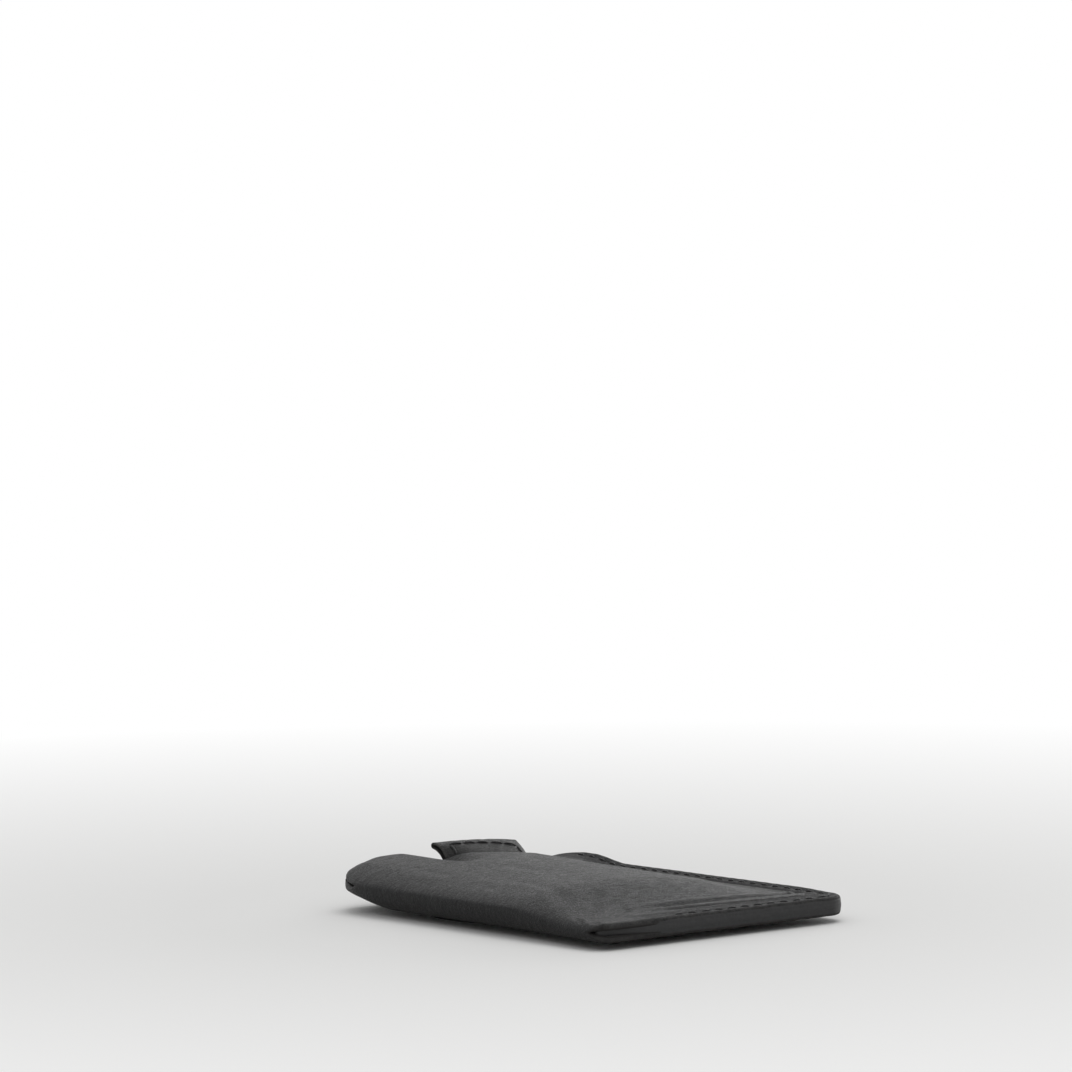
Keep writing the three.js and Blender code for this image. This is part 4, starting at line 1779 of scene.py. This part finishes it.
@dataclass(frozen=True)
class ThreadFinish:
    """Waxed black polyester thread, with the ridges of its twist drawn across each stitch."""

    name: str = "thread_finish"
    dark: str = "0b0b0c"
    light: str = "19191a"
    twist_angle: float = 0.9
    twist_scale: float = 1.2
    fuzz: float = 0.12

    def make(self) -> bpy.types.Material:
        """Makes the material.

        Returns:
            The material, with its node tree.
        """
        finish = FinishTree(self.name, Specular_IOR_Level=0.4, Sheen_Weight=0.15)
        turn = {"Vector": finish.place["UV"], "Rotation": (0, 0, self.twist_angle)}
        turned = finish.add("Mapping", turn).outputs["Vector"]
        ridges = {"Vector": turned, "Scale": self.twist_scale, "Distortion": 0.3}
        wave = finish.add("TexWave", ridges).outputs["Fac"]
        finish.bumps((wave, 0.07))
        fuzz = finish.noise(self.fuzz)
        finish.feed("Base Color", finish.mix(fuzz, linear(self.dark), linear(self.light)))
        finish.feed("Roughness", finish.ramp(wave, 0.0, 1.0, 0.62, 0.48))
        return finish.material


@dataclass(frozen=True)
class SuedeFinish:
    """Short-napped charcoal microfibre: matt, with a pale sheen and brushed patches."""

    name: str = "suede_finish"
    dark: str = "1b1b1d"
    light: str = "2f2f31"
    nap: float = 0.16
    patch: float = 5.0

    def make(self) -> bpy.types.Material:
        """Makes the material.

        Returns:
            The material, with its node tree.
        """
        finish = FinishTree(self.name, Sheen_Weight=0.35, Sheen_Roughness=0.45, Specular_IOR_Level=0.2)
        nap = finish.noise(self.nap, detail=5.0)
        brushed = finish.noise(self.patch, detail=2.0)
        finish.bumps((nap, 0.06), (brushed, 0.05))
        half_nap, half_brushed = (finish.math("MULTIPLY", part, 0.5) for part in (nap, brushed))
        tone = finish.ramp(finish.math("ADD", half_nap, half_brushed), 0.35, 0.65, 0.0, 1.0)
        finish.feed("Base Color", finish.mix(tone, linear(self.dark), linear(self.light)))
        finish.feed("Roughness", finish.ramp(nap, 0.3, 0.7, 0.82, 0.96))
        return finish.material


@dataclass(frozen=True)
class TapeFinish:
    """Woven black polyester tape: ribs across it, crossed by finer warp threads."""

    name: str = "tape_finish"
    dark: str = "0c0c0d"
    light: str = "1f1f20"
    rib_scale: float = 0.55
    warp_scale: float = 1.4

    def make(self) -> bpy.types.Material:
        """Makes the material.

        Returns:
            The material, with its node tree.
        """
        finish = FinishTree(self.name, Sheen_Weight=0.2, Specular_IOR_Level=0.35)
        place = finish.place["UV"]
        weft = {"Vector": place, "Scale": self.rib_scale, "Distortion": 0.15, "Detail": 1.0}
        ribs = finish.add("TexWave", weft, bands_direction="Y").outputs["Fac"]
        threads = {"Vector": place, "Scale": self.warp_scale}
        warp = finish.add("TexWave", threads, bands_direction="X").outputs["Fac"]
        finish.bumps((ribs, 0.12), (warp, 0.04))
        crossing = finish.math("MULTIPLY", ribs, warp)
        finish.feed("Base Color", finish.mix(crossing, linear(self.dark), linear(self.light)))
        finish.feed("Roughness", finish.ramp(ribs, 0.0, 1.0, 0.8, 0.6))
        return finish.material


@dataclass(frozen=True)
class PlasticFinish:
    """Soft-touch moulded plastic with a spark-eroded grain and faint shinier rubs."""

    name: str = "tray_finish"
    dark: str = "151516"
    light: str = "242426"
    grain: float = 0.14
    rub_and_shine: float = 2.5

    def make(self) -> bpy.types.Material:
        """Makes the material.

        Returns:
            The material, with its node tree.
        """
        finish = FinishTree(self.name, Specular_IOR_Level=0.45)
        grain = finish.noise(self.grain, detail=2.0)
        rubs = finish.noise(self.rub_and_shine, stretched(finish, 1.0, 0.2, 0.7), detail=4.0, distortion=1.0)
        finish.bumps((grain, 0.02))
        share = finish.ramp(rubs, 0.55, 0.75, 0.0, 0.6)
        finish.feed("Base Color", finish.mix(share, linear(self.dark), linear(self.light)))
        finish.feed("Roughness", finish.ramp(rubs, 0.4, 0.75, 0.62, 0.46))
        return finish.material


@dataclass(frozen=True)
class MetalFinish:
    """Bare or plated metal, with fine lines where it is drawn and duller spots."""

    name: str
    colour: str
    rough: float
    drawn: float
    dull: str = "77797c"
    line: float = 0.25
    spot: float = 2.0

    def make(self) -> bpy.types.Material:
        """Makes the material.

        Returns:
            The material, with its node tree.
        """
        finish = FinishTree(self.name, Metallic=1.0)
        lines = finish.noise(self.line, stretched(finish, 1.0, 0.05, 0.0), detail=3.0)
        spots = finish.noise(self.spot, detail=3.0)
        finish.bumps((lines, 0.006 * self.drawn + 0.001))
        share = finish.ramp(spots, 0.35, 0.7, 0.0, 0.5)
        finish.feed("Base Color", finish.mix(share, linear(self.colour), linear(self.dull)))
        finish.feed("Roughness", finish.ramp(lines, 0.3, 0.7, self.rough * 0.8, self.rough * 1.25))
        return finish.material


def dress(piece: bpy.types.Object, finish: SurfaceFinish) -> None:
    """Gives a piece one finish, whose material is made when it is first asked for.

    Args:
        piece: The object.
        finish: Its finish.
    """
    material = bpy.data.materials.get(finish.name) or finish.make()
    piece.data.materials.clear()
    piece.data.materials.append(material)


@dataclass(frozen=True)
class MagnetSet:
    """The tray, the magnets and the shield ring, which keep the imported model's own meshes."""

    tray: PlasticFinish = PlasticFinish()
    nickel: MetalFinish = MetalFinish("nickel_finish", "c9c8c4", 0.26, 0.3)
    steel: MetalFinish = MetalFinish("steel_finish", "9a9c9f", 0.38, 1.0)

    def dress(self) -> None:
        """Gives these nodes their finishes."""
        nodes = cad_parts
        dress(nodes["magnet_tray"], self.tray)
        for name, node in nodes.items():
            if name.startswith("ring_magnet") or name == "bar_magnet":
                dress(node, self.nickel)
        dress(nodes["shield_ring"], self.steel)


@dataclass(frozen=True)
class PhotoCamera:
    """The photograph's camera: where it stands and which pixel it sees its aim at."""

    azimuth: float = -40.45
    elevation: float = 8.39
    roll: float = -0.50
    distance: float = 1028.94
    aim: tuple[float, float, float] = (-35.3, -73.3, -8.25)
    aim_pixel: tuple[float, float] = (644.40, 997.07)
    focal_pixels: float = 5000.0
    frame_pixels: float = 1072.0
    sensor: float = 36.0

    def build(self) -> bpy.types.Object:
        """Makes the camera.

        Returns:
            The scene's camera.
        """
        a, e = math.radians(self.azimuth), math.radians(self.elevation)
        back = Vector((math.sin(a) * math.cos(e), -math.cos(a) * math.cos(e), math.sin(e)))
        right = Vector((0, 0, 1)).cross(back).normalized()
        level = Matrix((right, back.cross(right), back)).transposed()
        middle = self.frame_pixels / 2
        ray = Vector(
            (
                (self.aim_pixel[0] - middle) / self.focal_pixels,
                (middle - self.aim_pixel[1]) / self.focal_pixels,
                -1,
            )
        ).normalized()
        offset = ray.rotation_difference(Vector((0, 0, -1))).to_matrix()
        turned = level @ Matrix.Rotation(math.radians(self.roll), 3, "Z") @ offset
        data = bpy.data.cameras.new("photo_camera")
        data.sensor_width = self.sensor
        data.lens = self.focal_pixels / self.frame_pixels * self.sensor
        data.clip_start, data.clip_end = 0.01, 50.0
        camera = bpy.data.objects.new("photo_camera", data)
        camera.rotation_mode = "QUATERNION"
        camera.rotation_quaternion = turned.to_quaternion()
        camera.location = (Vector(self.aim) + back * self.distance) * MM
        bpy.context.scene.collection.objects.link(camera)
        bpy.context.scene.camera = camera
        return camera


@dataclass(frozen=True)
class Softbox:
    """A rectangular studio lamp that faces the wallet."""

    name: str
    azimuth: float
    elevation: float
    distance: float
    width: float
    height: float
    watts: float

    def build(self) -> None:
        """Adds the lamp."""
        a, e = math.radians(self.azimuth), math.radians(self.elevation)
        away = Vector((math.sin(a) * math.cos(e), -math.cos(a) * math.cos(e), math.sin(e)))
        data = bpy.data.lights.new(self.name, "AREA")
        data.shape = "RECTANGLE"
        data.size, data.size_y = self.width, self.height
        data.energy = self.watts
        lamp = bpy.data.objects.new(self.name, data)
        lamp.visible_camera = False
        lamp.location = away * self.distance
        lamp.rotation_mode = "QUATERNION"
        lamp.rotation_quaternion = away.to_track_quat("Z", "Y")
        bpy.context.scene.collection.objects.link(lamp)


def seen_directly(tree: bpy.types.NodeTree) -> bpy.types.NodeSocket:
    """1 for rays that show the background: from the camera, off gloss and through glass.

    Args:
        tree: The node tree that asks.

    Returns:
        The value, 0 for the light that falls on things.
    """
    path = tree.nodes.new("ShaderNodeLightPath")
    total = path.outputs["Is Camera Ray"]
    for name in ("Is Glossy Ray", "Is Transmission Ray"):
        larger = tree.nodes.new("ShaderNodeMath")
        larger.operation = "MAXIMUM"
        tree.links.new(total, larger.inputs[0])
        tree.links.new(path.outputs[name], larger.inputs[1])
        total = larger.outputs[0]
    return total


@dataclass(frozen=True)
class Studio:
    """A pale floor that runs out to white, an even surround and three softboxes."""

    surround_light: float = 0.5
    floor_radius: float = 9.0
    floor_sides: int = 96
    floor_colour: str = "efefee"
    white_from: float = 0.08
    white_at: float = 0.45
    softboxes: tuple[Softbox, ...] = (
        Softbox("far_panel", 110, 13, 1.5, 1.1, 0.36, 3.6),
        Softbox("front_fill", -50, 40, 1.4, 0.8, 0.6, 1.6),
        Softbox("top_fill", 60, 80, 1.3, 1.0, 1.0, 4.6),
    )

    def build_floor(self) -> None:
        """Adds the floor, which keeps the wallet's shadow and turns white away from it."""
        bpy.ops.mesh.primitive_circle_add(
            vertices=self.floor_sides, radius=self.floor_radius, fill_type="NGON", location=(0, 0, 0)
        )
        floor = bpy.context.object
        floor.name = "floor"
        finish = FinishTree("floor_finish", Specular_IOR_Level=0.1, Roughness=0.9)
        finish.shader.inputs["Base Color"].default_value = linear(self.floor_colour)
        reach = finish.add("VectorMath", {0: finish.place["Object"]}, operation="LENGTH").outputs["Value"]
        far = finish.ramp(reach, self.white_from, self.white_at, 0.0, 1.0)
        white = finish.add("Emission", {"Color": linear("ffffff"), "Strength": 1.0})
        share = finish.math("MULTIPLY", far, seen_directly(finish.tree))
        both = finish.add("MixShader", {0: share, 1: finish.shader.outputs[0], 2: white.outputs[0]})
        surface = finish.tree.nodes["Material Output"].inputs["Surface"]
        finish.tree.links.new(both.outputs[0], surface)
        floor.data.materials.append(finish.material)

    def build_surround(self) -> None:
        """Makes the world: white where it is seen, softer as a light on the wallet."""
        world = bpy.data.worlds.new("studio")
        world.use_nodes = True
        tree = world.node_tree
        strength = tree.nodes.new("ShaderNodeMix")
        strength.inputs[2].default_value = self.surround_light
        strength.inputs[3].default_value = 1.0
        tree.links.new(seen_directly(tree), strength.inputs[0])
        background = tree.nodes["Background"]
        tree.links.new(strength.outputs[0], background.inputs["Strength"])
        background.inputs["Color"].default_value = (1.0, 1.0, 1.0, 1.0)
        bpy.context.scene.world = world

    def build(self) -> None:
        """Adds the floor, the surround and the lamps."""
        self.build_floor()
        self.build_surround()
        for softbox in self.softboxes:
            softbox.build()


def main() -> None:
    """Builds and dresses the wallet, with its stage and its camera, and reports each piece."""
    logging.basicConfig(level=logging.INFO, format="%(name)s: %(message)s")
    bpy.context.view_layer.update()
    PhotoCamera().build()
    Studio().build()

    form = Form.from_frame()
    seam = SeamLook()
    tab = PullTab(form)
    parts = (
        LeatherWrap(form, seam),
        SuedeLining(form),
        tab,
        PullRibbon(form, tab),
        SeamStitches(form, seam),
        EdgePaint(form, seam),
        TabStitches(tab),
    )
    for part in parts:
        piece = part.build()
        part.dress(piece)
        log.info("%s: %d faces", piece.name, len(piece.data.polygons))
    MagnetSet().dress()

    bpy.context.scene.view_settings.view_transform = "Standard"


if __name__ == "__main__":
    main()
